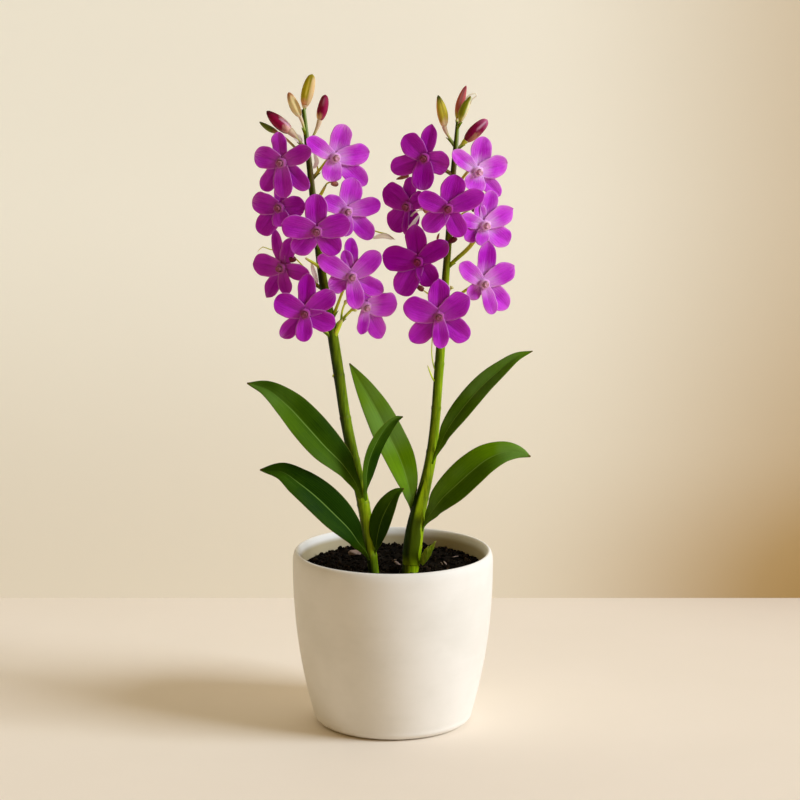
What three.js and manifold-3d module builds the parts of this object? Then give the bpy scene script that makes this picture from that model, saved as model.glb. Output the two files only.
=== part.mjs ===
// A potted dendrobium orchid: two upright canes with seven leaves, seventeen blooms and nine buds,
// growing in potting mix in a plain white ceramic pot.
//
// Frame: millimetres, +Z up, +X to the right, +Y to the back. The origin is the centre of the pot's
// flat underside. Blooms and leaves mostly look towards -Y.

import * as THREE from 'three';
import { mergeVertices } from 'three/addons/utils/BufferGeometryUtils.js';
import Module from 'manifold-3d';

const wasm = await Module();
wasm.setup();

// ---- Driving dimensions -------------------------------------------------------------------------

const gap = 0.3; // clearance between pieces that touch

const pot = {
  height: 105,
  rimRadius: 60, // outer radius of the straight rim
  rimStart: 98.5, // height at which the wall has reached the rim radius
  bellyDrop: 13.7, // how much narrower the wall would be at the very bottom
  bellyPower: 2.16, // how late the wall curves in
  cornerHeight: 5, // rounded edge between wall and underside
  footRadius: 41,
  lipRadius: 2.3,
  innerRadius: 55.4, // just below the lip
  wallAtFloor: 7.2,
  wallAtSoil: 6.2,
  floor: 7,
  floorFillet: 5, // how far the floor's flat stops short of the wall
  segments: 32,
};

const soil = {
  level: 95.5, // mean height of its top
  edge: 94.5, // height at which it meets the wall
  relief: 1, // height of its lumps
  calmRadius: 53, // no lumps from here out
  rings: [8, 16, 24, 32, 40, 47],
};

const cane = { sides: 8, nodeSwell: 0.45, nodeHalf: 1.6 };

const tepal = {
  thickness: 0.7,
  start: 1.6, // distance from the flower's axis at which a tepal begins
  set: -1.7, // how far behind the face plane it begins
  layer: 1, // from the sepals to the petals, and from the petals to the lip
  stations: [0, 0.25, 0.56, 0.84, 1],
  widths: [0.5, 0.88, 1.04, 0.87, 0.2],
  cup: 0.14, // how far the margins come forward, in half widths
  arch: 2, // how strongly it rises out of the throat
  archFall: 0.6, // how soon that rise flattens
  leastSeen: 0.65, // a turned tepal's width is corrected down to this share
};

const throat = {
  sides: 6,
  // [distance in front of the face plane, radius], from the stalk to the cup that holds the tepals
  profile: [[-7, 1.1], [-4.6, 1.5], [-3.8, 2.5], [-0.4, 3]],
};
const [throatBack] = throat.profile[0];
const [throatFront] = throat.profile[throat.profile.length - 1];
const column = {
  length: 4.6,
  radius: 1.6,
  sides: 6,
  // [share of the length, share of the radius], from the throat to the hood
  profile: [[0, 0.8], [0.35, 0.85], [0.75, 1], [1, 0.6]],
};
const pedicel = {
  radius: 0.95,
  budRadius: 0.85,
  sides: 5,
  steps: 3,
  outward: 0.35, // share of the way over which it leaves the cane straight
  handle: 6, // length over which it turns into its flower's axis
};
const budForm = {
  sides: 7,
  shares: [0, 0.14, 0.38, 0.62, 0.84, 1], // places along the bud, from the stalk to the tip
  widest: 0.38,
  pointed: [0.34, 0.74, 1, 0.86, 0.5, 0.14], // shares of the half width there, with pointed ends
  blunt: [0.7, 0.92, 1, 0.98, 0.82, 0.36], // and with blunt ends
};

const leafForm = {
  thickness: 0.9,
  stations: [0, 0.08, 0.16, 0.27, 0.4, 0.53, 0.67, 0.82, 0.93, 1],
  widths: [0.34, 0.36, 0.44, 0.76, 0.97, 1, 0.9, 0.62, 0.3, 0.04],
  claspEnd: 0.24, // share of the length over which the clasping base opens into the blade
};

// ---- Colours ------------------------------------------------------------------------------------

function finish(color, roughness) {
  return new THREE.MeshStandardMaterial({ color, roughness, metalness: 0 });
}

const looks = {
  ceramic: finish(0xf1ece2, 0.55),
  mix: finish(0x2a1f1a, 0.95),
  cane: finish(0x5d8a2e, 0.5),
  leaf: finish(0x2f6a2a, 0.42),
  sheath: finish(0x24501f, 0.5),
  shoot: finish(0x86b03a, 0.5),
  bloom: finish(0xa41fae, 0.55),
  column: finish(0x7a4a3c, 0.5),
  budGreen: finish(0xa7a63c, 0.5),
  budPeach: finish(0xcfae7a, 0.5),
  budPurple: finish(0x9a1f58, 0.5),
  bark: finish(0x8a5a44, 0.9),
};

// ---- Small helpers ------------------------------------------------------------------------------

const vec = (x, y, z) => new THREE.Vector3(x, y, z);
const curveThrough = (points) => new THREE.CatmullRomCurve3(points.map((p) => vec(...p)));
const mix = (a, b, t) => a + (b - a) * t;

/** Reads a piecewise linear table, given as two lists, at x. */
function along(xs, ys, x) {
  let k = 0;
  while (k < xs.length - 2 && x > xs[k + 1]) k += 1;
  const t = THREE.MathUtils.clamp((x - xs[k]) / (xs[k + 1] - xs[k]), 0, 1);
  return mix(ys[k], ys[k + 1], t);
}

/** An indexed geometry from points and triples of point numbers. */
function indexed(points, faces) {
  const geometry = new THREE.BufferGeometry();
  const flat = points.flatMap((p) => [p.x, p.y, p.z]);
  geometry.setAttribute('position', new THREE.Float32BufferAttribute(flat, 3));
  geometry.setIndex(faces.flat());
  return geometry;
}

/** A closed solid through rings of equal length, counterclockwise about the way they advance. */
function ringSolid(rings) {
  const n = rings[0].length;
  const points = rings.flat();
  const faces = [];
  for (let i = 0; i + 1 < rings.length; i += 1) {
    for (let k = 0; k < n; k += 1) {
      const a = i * n + k;
      const b = i * n + ((k + 1) % n);
      faces.push([a, b, b + n], [a, b + n, a + n]);
    }
  }
  const centre = (ring) => ring.reduce((sum, p) => sum.add(p), vec(0, 0, 0)).divideScalar(n);
  const first = points.push(centre(rings[0])) - 1;
  const last = points.push(centre(rings[rings.length - 1])) - 1;
  const top = (rings.length - 1) * n;
  for (let k = 0; k < n; k += 1) {
    const next = (k + 1) % n;
    faces.push([first, next, k], [last, top + k, top + next]);
  }
  return indexed(points, faces);
}

/** A ring of points round `centre`, in the plane across `axis`. */
function ringAcross(centre, axis, radius, sides) {
  const side = vec(0, 1, 0).cross(axis);
  if (side.lengthSq() < 1e-4) side.set(1, 0, 0);
  side.normalize();
  const up = axis.clone().cross(side).normalize();
  return Array.from({ length: sides }, (_, k) => {
    const turn = (2 * Math.PI * k) / sides;
    return centre.clone()
      .addScaledVector(side, radius * Math.cos(turn))
      .addScaledVector(up, radius * Math.sin(turn));
  });
}

/** A tube along a curve; `radiusAt(t)` gives its radius, `ts` the places of its rings. */
function tube(curve, ts, radiusAt, sides) {
  return ringSolid(ts.map((t) => (
    ringAcross(curve.getPointAt(t), curve.getTangentAt(t), radiusAt(t), sides)
  )));
}

/**
 * A thin blade from a grid of points on its front face. Both faces are cut into triangles along the
 * same diagonals, so that they never cross, and a rim closes the edge.
 */
function blade(front, thickness) {
  const rows = front.length;
  const cols = front[0].length;
  const { clamp } = THREE.MathUtils;
  const at = (i, j) => front[clamp(i, 0, rows - 1)][clamp(j, 0, cols - 1)];
  const back = front.map((row, i) => row.map((p, j) => {
    const lengthwise = at(i + 1, j).clone().sub(at(i - 1, j));
    const crosswise = at(i, j + 1).clone().sub(at(i, j - 1));
    return p.clone().addScaledVector(lengthwise.cross(crosswise).normalize(), -thickness);
  }));
  const points = [...front.flat(), ...back.flat()];
  const f = (i, j) => i * cols + j;
  const b = (i, j) => rows * cols + i * cols + j;
  const faces = [];
  for (let i = 0; i + 1 < rows; i += 1) {
    for (let j = 0; j + 1 < cols; j += 1) {
      faces.push([f(i, j), f(i + 1, j), f(i + 1, j + 1)], [f(i, j), f(i + 1, j + 1), f(i, j + 1)]);
      faces.push([b(i, j), b(i + 1, j + 1), b(i + 1, j)], [b(i, j), b(i, j + 1), b(i + 1, j + 1)]);
    }
    const j = cols - 1;
    faces.push([f(i, 0), b(i, 0), b(i + 1, 0)], [f(i, 0), b(i + 1, 0), f(i + 1, 0)]);
    faces.push([f(i, j), f(i + 1, j), b(i + 1, j)], [f(i, j), b(i + 1, j), b(i, j)]);
  }
  for (let j = 0; j + 1 < cols; j += 1) {
    const i = rows - 1;
    faces.push([f(0, j), f(0, j + 1), b(0, j + 1)], [f(0, j), b(0, j + 1), b(0, j)]);
    faces.push([f(i, j), b(i, j), b(i, j + 1)], [f(i, j), b(i, j + 1), f(i, j + 1)]);
  }
  return indexed(points, faces);
}

/** A closed geometry as a solid that can be joined and cut. */
function toSolid(geometry) {
  const bare = geometry.clone();
  bare.deleteAttribute('normal');
  bare.deleteAttribute('uv');
  const merged = mergeVertices(bare, 1e-4);
  return new wasm.Manifold(new wasm.Mesh({
    numProp: 3,
    vertProperties: new Float32Array(merged.attributes.position.array),
    triVerts: new Uint32Array(merged.index.array),
  }));
}

/** A solid as a geometry. Only its largest body stays, so scraps go and sealed hollows are filled. */
function toGeometry(solid) {
  const bodies = solid.decompose().sort((a, b) => b.volume() - a.volume());
  const mesh = bodies[0].getMesh();
  const geometry = new THREE.BufferGeometry();
  geometry.setAttribute('position', new THREE.BufferAttribute(mesh.vertProperties, 3));
  geometry.setIndex(new THREE.BufferAttribute(mesh.triVerts, 1));
  return geometry;
}

function joined(geometries) {
  return geometries.map(toSolid).reduce((sum, next) => sum.add(next));
}

const orchid = new THREE.Group();

function addPiece(name, geometry, material) {
  const mesh = new THREE.Mesh(geometry, material);
  mesh.name = name;
  orchid.add(mesh);
}

// ---- Pot ----------------------------------------------------------------------------------------

/** Outer radius of the pot's wall at a height: a straight rim that curves in towards the foot. */
function wallRadius(z) {
  const below = Math.max(0, 1 - z / pot.rimStart);
  return pot.rimRadius - pot.bellyDrop * below ** pot.bellyPower;
}

/** Inner radius of the pot: the wall thickens a little towards the floor. */
function boreRadius(z) {
  const wall = mix(pot.wallAtFloor, pot.wallAtSoil, z / soil.edge);
  return Math.min(wallRadius(z) - wall, pot.innerRadius);
}

const boreHeights = [14, 52, soil.edge];
const floorRadius = boreRadius(pot.floor) - pot.floorFillet;

function potGeometry() {
  const cornerRadius = wallRadius(pot.cornerHeight) - pot.footRadius;
  const corner = [30, 60].map((turn) => {
    const angle = THREE.MathUtils.degToRad(turn);
    return [pot.footRadius + cornerRadius * Math.sin(angle), pot.cornerHeight * (1 - Math.cos(angle))];
  });
  const outside = [5, 14, 26, 40, 56, 74, pot.rimStart].map((z) => [wallRadius(z), z]);
  const lipCentre = pot.rimRadius - pot.lipRadius;
  const lip = [35, 65, 90, 125].map((turn) => {
    const angle = THREE.MathUtils.degToRad(turn);
    const z = pot.rimStart + (pot.height - pot.rimStart) * Math.sin(angle);
    return [lipCentre + pot.lipRadius * Math.cos(angle), z];
  });
  const inside = boreHeights.map((z) => [boreRadius(z), z]).reverse();
  const innerLip = [pot.innerRadius, pot.rimStart + 2.5];
  const profile = [
    [0, 0], [pot.footRadius, 0], ...corner, ...outside, ...lip, innerLip, ...inside,
    [floorRadius, pot.floor], [0, pot.floor],
  ];
  const points = profile.map(([r, z]) => new THREE.Vector2(r, z));
  return new THREE.LatheGeometry(points, pot.segments).rotateX(Math.PI / 2);
}

// ---- Canes --------------------------------------------------------------------------------------

// Each cane: its axis from the bottom of its hole to the tip of the flower stem, the diameter at some
// heights, and the heights of the nodes that ring it.
const canes = {
  left: {
    axis: [
      [-9.8, -19.7, 84], [-11.3, -19, 97], [-13.8, -17.8, 114], [-17, -16.5, 135], [-21, -15.2, 154],
      [-24.8, -14.1, 172], [-28.2, -12.9, 190], [-31.8, -11.3, 215], [-37, -9.1, 248.5],
      [-41, -7.7, 271], [-44.3, -5.9, 298], [-47.3, -4.1, 326], [-49.5, -2.8, 347],
      [-51.6, -1.4, 368.5],
    ],
    heights: [84, 100, 121, 154, 172, 190, 231, 250, 300, 345, 368],
    diameters: [6, 6.2, 7.2, 7.2, 6.8, 6.4, 6.3, 5.7, 4.3, 3.3, 2.6],
    nodes: [106, 137, 163, 188, 213, 238],
  },
  right: {
    axis: [
      [9.2, -19.7, 84], [10.5, -18.8, 98.5], [12.3, -17.8, 115], [15.8, -16.5, 134.5],
      [19.9, -15.4, 151.5], [22.9, -14.4, 167], [25, -13.1, 187], [26.8, -11.5, 212],
      [29.3, -9.3, 247], [31, -7.7, 271.5], [32.6, -6.3, 292.5], [34, -5, 312.7],
      [35.4, -3.7, 333], [36.8, -2.7, 348.5], [37.9, -1.8, 361.5],
    ],
    heights: [84, 98, 116, 134, 152, 167, 187, 225, 246, 275, 334, 361],
    diameters: [9, 9.8, 10.8, 8.6, 7, 6.4, 5.6, 5.5, 5.1, 4.3, 3.3, 2.3],
    nodes: [112, 141, 168, 194, 220, 244],
  },
};

for (const one of Object.values(canes)) one.curve = curveThrough(one.axis);

/** The place on a cane's curve, from 0 to 1, at which it reaches a height. */
function placeAt(one, z) {
  let low = 0;
  let high = 1;
  for (let k = 0; k < 30; k += 1) {
    const mid = (low + high) / 2;
    if (one.curve.getPointAt(mid).z < z) low = mid;
    else high = mid;
  }
  return (low + high) / 2;
}

function caneRadius(one, z) {
  const bare = along(one.heights, one.diameters, z) / 2;
  const atNode = one.nodes.some((node) => Math.abs(node - z) < cane.nodeHalf / 2);
  const swell = atNode ? cane.nodeSwell : 0;
  return bare + swell;
}

/** The bare cane; `extra` makes it thicker, for the clearance that its neighbours keep. */
function caneTube(one, extra = 0) {
  const rings = one.nodes.flatMap((z) => [z - cane.nodeHalf, z, z + cane.nodeHalf]);
  const between = [97, 124, 151, 176, 201, 226, 262, 290, 318, 345];
  const isFree = (z) => one.nodes.every((node) => Math.abs(node - z) > 2 * cane.nodeHalf);
  const heights = [...rings, ...between.filter(isFree)].sort((a, b) => a - b);
  const ts = [0, ...heights.map((z) => placeAt(one, z)), 1];
  const radiusAt = (t) => caneRadius(one, one.curve.getPointAt(t).z) + extra;
  return tube(one.curve, ts, radiusAt, cane.sides);
}

// ---- Blooms -------------------------------------------------------------------------------------

// Each bloom: the centre of its face, how far it is turned to the right (yaw) and up (pitch), the
// height at which its stalk leaves the cane, and its lobes. A lobe is [angle, reach, width, curl] as
// it looks from the front: degrees counterclockwise from +X, millimetres, and how far the tip bends
// forward.
const blooms = {
  L1: {
    cane: 'left', from: 322, centre: [-64.3, -15.3, 338.2], yaw: -15, pitch: 0,
    lobes: [
      [98, 17.8, 8.6, -1], [163, 16.4, 12.8, 0], [25, 19.5, 10.2, 1], [235, 20, 9.9, 0],
      [276, 20.3, 10.8, 1], [-44, 21.4, 10, 0],
    ],
  },
  L2: {
    cane: 'left', from: 327, centre: [-33, -11, 340.7], yaw: 18, pitch: 0,
    lobes: [
      [72, 20, 12, 0], [145, 20, 9.4, 1], [7, 20.2, 12.2, 0], [-41, 24.4, 10.8, 1],
      [255, 14.2, 11.6, 0],
    ],
  },
  L3: {
    cane: 'left', from: 297, centre: [-66, -8.5, 311.4], yaw: -18, pitch: 0,
    lobes: [
      [167, 16.6, 12.6, 0], [7, 15.4, 12, 0], [231, 20, 12.2, 0], [-80, 11, 10.4, 0],
      [88, 14.5, 8, -3],
    ],
  },
  L4: {
    cane: 'left', from: 287, centre: [-43.3, -29.8, 300.1], yaw: -4, pitch: 0,
    lobes: [
      [93, 21.5, 12.8, -1], [168, 20.9, 13.4, 0], [17, 19.7, 13.4, 0], [222, 18.6, 12.4, 0],
      [-44, 17.6, 12.8, 0],
    ],
  },
  L5: {
    cane: 'left', from: 293, centre: [-26.2, -13.1, 309.8], yaw: 18, pitch: 0,
    lobes: [
      [76, 19.7, 12.8, -2], [149, 15.4, 10.2, 0], [11, 20, 10.6, 0], [-46, 22.2, 10.6, 0],
      [266, 14.6, 8.1, 0],
    ],
  },
  L6: {
    cane: 'left', from: 263, centre: [-65, -11.3, 276.3], yaw: -28, pitch: 0,
    lobes: [
      [104, 23.2, 6.8, -2], [72, 18.8, 8.6, 0], [173, 17.4, 13, 0], [-9, 16.6, 9.4, 0],
      [241, 20.8, 8.4, 0], [-74, 15.4, 7.8, 1],
    ],
  },
  L7: {
    cane: 'left', from: 244, centre: [-23.5, -22.6, 272.9], yaw: 10, pitch: 0,
    lobes: [
      [90, 22.6, 8, -1], [105, 16.2, 7, 1], [148, 23, 11, 0], [39, 21.4, 11.8, 0],
      [-28, 20.8, 10.6, 0], [-81, 19, 10.2, 0], [205, 14.4, 11, 0],
    ],
  },
  L8: {
    cane: 'left', from: 234, centre: [-50.6, -27.9, 252.1], yaw: -4, pitch: 0,
    lobes: [
      [86, 23.2, 10.2, -1], [37, 21.4, 11.8, 0], [-22, 18.6, 12, 0], [267, 16.2, 9.6, 1],
      [225, 20, 9.6, 0], [155, 19.4, 13.4, 0],
    ],
  },
  L9: {
    cane: 'left', from: 240, centre: [-15.5, -12.8, 253.9], yaw: 22, pitch: -8,
    lobes: [
      [3, 18.6, 14.2, 0], [-63, 22.4, 10.8, 0], [260, 16.8, 7, 0], [85, 9, 6, -2],
      [165, 8, 6.5, -2],
    ],
  },
  R1: {
    cane: 'right', from: 330, centre: [18.2, -15.1, 340.8], yaw: -10, pitch: 0,
    lobes: [
      [78, 20.2, 8.9, 0], [133, 17.4, 12.8, 0], [200, 20.8, 11.4, 0], [267, 18.4, 12.4, 1],
      [-16, 14.8, 13.2, 0],
    ],
  },
  R2: {
    cane: 'right', from: 320, centre: [49.4, -11.7, 332.9], yaw: 24, pitch: -6,
    lobes: [
      [78, 20.4, 12, 0], [12, 18.2, 12.6, 0], [140, 19.4, 8.9, 1], [-48, 21, 8.9, 0],
      [-108, 11.8, 12.6, 1],
    ],
  },
  R3: {
    cane: 'right', from: 302, centre: [8.4, -8, 311.9], yaw: -26, pitch: 0,
    lobes: [
      [142, 17.2, 13.6, 0], [86, 17.4, 8, -1], [35, 12.6, 9, 0], [234, 17.4, 12.8, 0],
      [265, 16.2, 3.6, 0], [-67, 12.2, 7.6, 1],
    ],
  },
  R4: {
    cane: 'right', from: 299, centre: [31.8, -29, 313.1], yaw: 0, pitch: 0,
    lobes: [
      [76, 20, 13.6, -1], [23, 22.6, 11, 0], [157, 18.6, 11, 0], [222, 18.6, 12, 0],
      [-63, 18.2, 11.4, 0],
    ],
  },
  R5: {
    cane: 'right', from: 275, centre: [53.9, -17, 302.2], yaw: 22, pitch: 0, stalk: 1.25, sag: 16,
    lobes: [
      [77, 20.4, 9.6, -1], [108, 13.3, 7, 0], [28, 18.8, 11.6, 0], [-38, 18.6, 12, 0],
      [161, 15.6, 8.4, 0], [214, 13.8, 9.4, 0], [252, 12, 8, 1],
    ],
  },
  R6: {
    cane: 'right', from: 262, centre: [14.7, -20, 281.3], yaw: -12, pitch: 0,
    lobes: [
      [97, 21.8, 12, -1], [34, 20.6, 11.2, 0], [-56, 16.2, 12.6, 0], [239, 22.6, 14, 0],
      [173, 21, 14.8, 0],
    ],
  },
  R7: {
    cane: 'right', from: 254, centre: [53, -27.7, 269.6], yaw: 18, pitch: 0,
    lobes: [
      [82, 24.9, 10.6, -1], [139, 18.6, 9.8, 0], [28, 20.4, 12.4, 0], [-46, 21, 12, 0],
      [221, 12, 8.8, 0], [-74, 18.4, 8, 1],
    ],
  },
  R8: {
    cane: 'right', from: 233, centre: [26.7, -35.9, 251.6], yaw: 0, pitch: 0,
    lobes: [
      [90, 22, 12.3, -1], [33, 21, 14, 0], [-36, 21.6, 12.8, 0], [-85, 18.2, 9.4, 1],
      [222, 21.8, 12.4, 0], [161, 21.6, 14, 0],
    ],
  },
};

/** The way a bloom looks, from its yaw and pitch. */
function facing(bloom) {
  const yaw = THREE.MathUtils.degToRad(bloom.yaw);
  const pitch = THREE.MathUtils.degToRad(bloom.pitch);
  return vec(Math.sin(yaw) * Math.cos(pitch), -Math.cos(yaw) * Math.cos(pitch), Math.sin(pitch));
}

/** How far forward a lobe lies: petals before sepals, and the lip before both. */
function layer(angle) {
  const turn = (angle + 360) % 360;
  if (turn > 250 && turn < 290) return tepal.layer;
  const isPetal = turn < 50 || turn > 335 || (turn > 130 && turn < 200);
  return isPetal ? 0 : -tepal.layer;
}

/**
 * One tepal. Its tip lies in the face plane, where the lobe's front view puts it, and its width is
 * widened for the share that the turned flower hides. It rises from the throat in a low arch.
 */
function tepalGeometry(centre, normal, [angle, reach, width, curl]) {
  const turn = THREE.MathUtils.degToRad(angle);
  const right = reach * Math.cos(turn);
  const up = reach * Math.sin(turn);
  const tip = vec(right, -(normal.x * right + normal.z * up) / normal.y, up);
  const length = tip.length();
  const lengthwise = tip.normalize();
  const across = normal.clone().cross(lengthwise);
  const seen = Math.abs(across.z * Math.cos(turn) - across.x * Math.sin(turn));
  const half = width / 2 / Math.max(seen, tepal.leastSeen);
  const grid = tepal.stations.map((u, i) => {
    const out = mix(tepal.start, length, u);
    const arch = tepal.arch * u * (1 - tepal.archFall * u);
    const forward = tepal.set + layer(angle) + arch + curl * u * u;
    return [-1, 0, 1].map((v) => (
      centre.clone()
        .addScaledVector(lengthwise, out)
        .addScaledVector(normal, forward + tepal.cup * half * tepal.widths[i] * v * v)
        .addScaledVector(across, half * tepal.widths[i] * v)
    ));
  });
  return blade(grid, tepal.thickness);
}

/** The flower's throat and, behind it, the ovary that narrows to the stalk. */
function throatGeometry(centre, normal) {
  return ringSolid(throat.profile.map(([forward, radius]) => (
    ringAcross(centre.clone().addScaledVector(normal, forward), normal, radius, throat.sides)
  )));
}

/** The column: a short hooded peg that stands out of the throat. */
function columnGeometry(centre, normal) {
  const start = throatFront + gap;
  return ringSolid(column.profile.map(([share, width]) => {
    const place = centre.clone().addScaledVector(normal, start + share * column.length);
    return ringAcross(place, normal, width * column.radius, column.sides);
  }));
}

function bloomGeometry(bloom) {
  const centre = vec(...bloom.centre);
  const normal = facing(bloom);
  const lobes = bloom.lobes.map((lobe) => tepalGeometry(centre, normal, lobe));
  return toGeometry(joined([throatGeometry(centre, normal), ...lobes]));
}

// ---- Stalks of blooms and buds ------------------------------------------------------------------

/**
 * A stalk that leaves the cane at height `from`, and ends at `end`, on its way along `direction`. It
 * is pulled down in between by `sag`.
 */
function stalkGeometry(one, from, end, direction, radius, sag = 0) {
  const start = one.curve.getPointAt(placeAt(one, from));
  const span = end.clone().sub(start);
  const handle = Math.min(pedicel.handle, span.length() / 3);
  const outward = start.clone().addScaledVector(span, pedicel.outward);
  const approach = end.clone().addScaledVector(direction, -handle).add(vec(0, 0, -sag));
  const curve = new THREE.CubicBezierCurve3(start, outward, approach, end);
  const ts = Array.from({ length: pedicel.steps + 1 }, (_, k) => k / pedicel.steps);
  return tube(curve, ts, () => radius, pedicel.sides);
}

/** A bloom's stalk. One that sags meets the flower from below, so it ends a little earlier. */
function bloomStalk(bloom) {
  const normal = facing(bloom);
  const radius = bloom.stalk ?? pedicel.radius;
  const clearance = bloom.sag ? gap + radius : gap;
  const end = vec(...bloom.centre).addScaledVector(normal, throatBack - clearance);
  return stalkGeometry(canes[bloom.cane], bloom.from, end, normal, radius, bloom.sag);
}

// Each bud: where its base and its tip are, its thickness, how blunt its foot and its head are, the
// height at which its stalk leaves the cane, and its colour.
const buds = {
  L1: {
    cane: 'left', from: 366, base: [-50.8, -1.3, 370.4], tip: [-46.4, -0.1, 388.1],
    width: 7.2, foot: 0.6, head: 0.7, look: 'budGreen',
  },
  L2: {
    cane: 'left', from: 352, base: [-53.6, -4.5, 364.1], tip: [-60.1, -3.5, 377.9],
    width: 5.8, foot: 0.1, head: 0.5, look: 'budPeach',
  },
  L3: {
    cane: 'left', from: 344, base: [-59.9, -2.2, 355.8], tip: [-73, -1.5, 367],
    width: 7.4, foot: 0.9, head: 0.2, look: 'budPurple',
  },
  L4: {
    cane: 'left', from: 338, base: [-66.9, 2, 354.3], tip: [-77.5, 3, 360.4],
    width: 3.5, foot: 0.2, head: 0.2, look: 'budGreen',
  },
  L5: {
    cane: 'left', from: 346, base: [-42.2, -1.9, 362], tip: [-39, -0.9, 376.4],
    width: 6.1, foot: 0.5, head: 0.7, look: 'budPurple',
  },
  R1: {
    cane: 'right', from: 346, base: [29.7, -2, 358.7], tip: [26.3, -0.9, 376.1],
    width: 6.2, foot: 0.4, head: 0.1, look: 'budGreen',
  },
  R2: {
    cane: 'right', from: 359, base: [37.6, 0.7, 362.5], tip: [42.7, 2, 381.4],
    width: 5, foot: 0.1, head: 0.2, look: 'budPurple',
  },
  R3: {
    cane: 'right', from: 357, base: [39.2, -4.8, 361.2], tip: [45.2, -5.7, 375.9],
    width: 5.2, foot: 0.1, head: 0.2, look: 'budGreen',
  },
  R4: {
    cane: 'right', from: 344, base: [42.6, -2.6, 350], tip: [55, -1.8, 361.9],
    width: 7.4, foot: 0.4, head: 0.8, look: 'budPurple',
  },
};

/** A spindle-shaped bud, with ends between pointed and blunt. */
function budGeometry(bud) {
  const base = vec(...bud.base);
  const tip = vec(...bud.tip);
  const axis = tip.clone().sub(base).normalize();
  return ringSolid(budForm.shares.map((share, i) => {
    const bluntness = share < budForm.widest ? bud.foot : bud.head;
    const radius = (bud.width / 2) * mix(budForm.pointed[i], budForm.blunt[i], bluntness);
    return ringAcross(base.clone().lerp(tip, share), axis, radius, budForm.sides);
  }));
}

function budStalk(bud) {
  const base = vec(...bud.base);
  const axis = vec(...bud.tip).sub(base).normalize();
  const end = base.clone().addScaledVector(axis, -gap);
  return stalkGeometry(canes[bud.cane], bud.from, end, axis, pedicel.budRadius);
}

/** A cane with the stalks of all its blooms and buds. */
function caneGeometry(name) {
  const one = canes[name];
  const ours = (list) => Object.values(list).filter((item) => item.cane === name);
  const stalks = [...ours(blooms).map(bloomStalk), ...ours(buds).map(budStalk)];
  return toGeometry(joined([caneTube(one), ...stalks]));
}

// ---- Leaves -------------------------------------------------------------------------------------

// Each leaf: the line of its midrib from the cane to the tip, its width, the way its upper face looks,
// how strongly its halves fold up, and how strongly its base folds round the cane, both as slopes.
const leaves = {
  leaf_left_upper: {
    cane: 'left', width: 22, up: [0.1, -0.78, 0.6], fold: 0.3, clasp: -0.9,
    spine: [
      [-18.6, -21.5, 141], [-22.7, -22.5, 152], [-29.7, -23, 162.4], [-39.6, -23.5, 172.7],
      [-50.3, -23.5, 184.9], [-61.1, -22.5, 196.6], [-73.9, -20.5, 206.6], [-85.1, -18, 209.7],
    ],
  },
  leaf_left_lower: {
    cane: 'left', width: 21.5, up: [0.1, -0.78, 0.6], fold: 0.3, clasp: -0.9,
    spine: [
      [-14, -22.6, 103.8], [-18.7, -24, 112.5], [-25.1, -26, 123], [-34.4, -27.5, 133.2],
      [-44.9, -28.5, 143.8], [-54.8, -28.5, 152], [-64.7, -27, 158.4], [-77.7, -24.5, 159],
    ],
  },
  leaf_left_inner: {
    cane: 'left', width: 14, up: [0.75, -0.6, 0.2], fold: 0.25, clasp: -0.5,
    spine: [
      [-14.8, -19.8, 139.6], [-15.6, -22.5, 149.7], [-14.7, -24.5, 161.5], [-10.9, -26.5, 173.3],
      [-5, -27.5, 183.6], [0.8, -27.5, 189.6], [6, -27, 191.6],
    ],
  },
  leaf_left_low: {
    cane: 'left', width: 15, up: [-0.5, -0.8, 0.3], fold: 0.22, clasp: -0.5,
    spine: [
      [-9.9, -21.5, 106.8], [-9.3, -22.5, 116.3], [-6.6, -24, 128.3], [-2.2, -25.5, 138.3],
      [2.5, -26, 145.6], [6.6, -26, 148.4],
    ],
  },
  leaf_right_tall: {
    cane: 'right', width: 18.5, up: [0.2, -0.95, 0.25], fold: 0.18, clasp: 0,
    spine: [
      [14.5, -16.5, 127], [11.5, -17.5, 137], [9, -17, 149.5], [4, -15, 164.3],
      [-2.2, -11.5, 176.8], [-8.7, -8.5, 190], [-15.5, -6, 202.1], [-25.5, -4, 218.9],
    ],
  },
  leaf_right_upper: {
    cane: 'right', width: 13, up: [-0.35, -0.85, 0.35], fold: 0.25, clasp: -0.9,
    spine: [
      [23.1, -18.8, 161.6], [26.8, -19.4, 170.1], [31.8, -20.5, 181.7], [41.1, -22.5, 195.7],
      [53.2, -23, 209.8], [63.1, -22.5, 218.6], [72.4, -21.5, 225.8], [81.5, -20, 229.1],
    ],
  },
  leaf_right_lower: {
    cane: 'right', width: 20.5, up: [-0.3, -0.83, 0.45], fold: 0.22, clasp: -0.9,
    spine: [
      [18.6, -21.6, 121.4], [22, -24, 131.6], [28.3, -26, 141.4], [37.4, -28, 150.9],
      [46.4, -29, 159.5], [55.6, -29.5, 166.8], [65.5, -29, 170.8], [73.2, -28, 170.6],
      [80.6, -26.5, 167.6],
    ],
  },
};

/** A leaf blade: its base clasps the cane, and its two halves fold up from the midrib. */
function leafGeometry(leaf) {
  const curve = curveThrough(leaf.spine);
  const up = vec(...leaf.up).normalize();
  const grid = leafForm.stations.map((u, i) => {
    const lengthwise = curve.getTangentAt(u);
    const across = up.clone().cross(lengthwise).normalize();
    const normal = lengthwise.clone().cross(across);
    const half = (leaf.width / 2) * leafForm.widths[i];
    const fold = mix(leaf.clasp, leaf.fold, THREE.MathUtils.smoothstep(u, 0, leafForm.claspEnd));
    return [-1, 0, 1].map((v) => (
      curve.getPointAt(u)
        .addScaledVector(across, half * v)
        .addScaledVector(normal, fold * half * Math.abs(v))
    ));
  });
  return blade(grid, leafForm.thickness);
}

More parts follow.
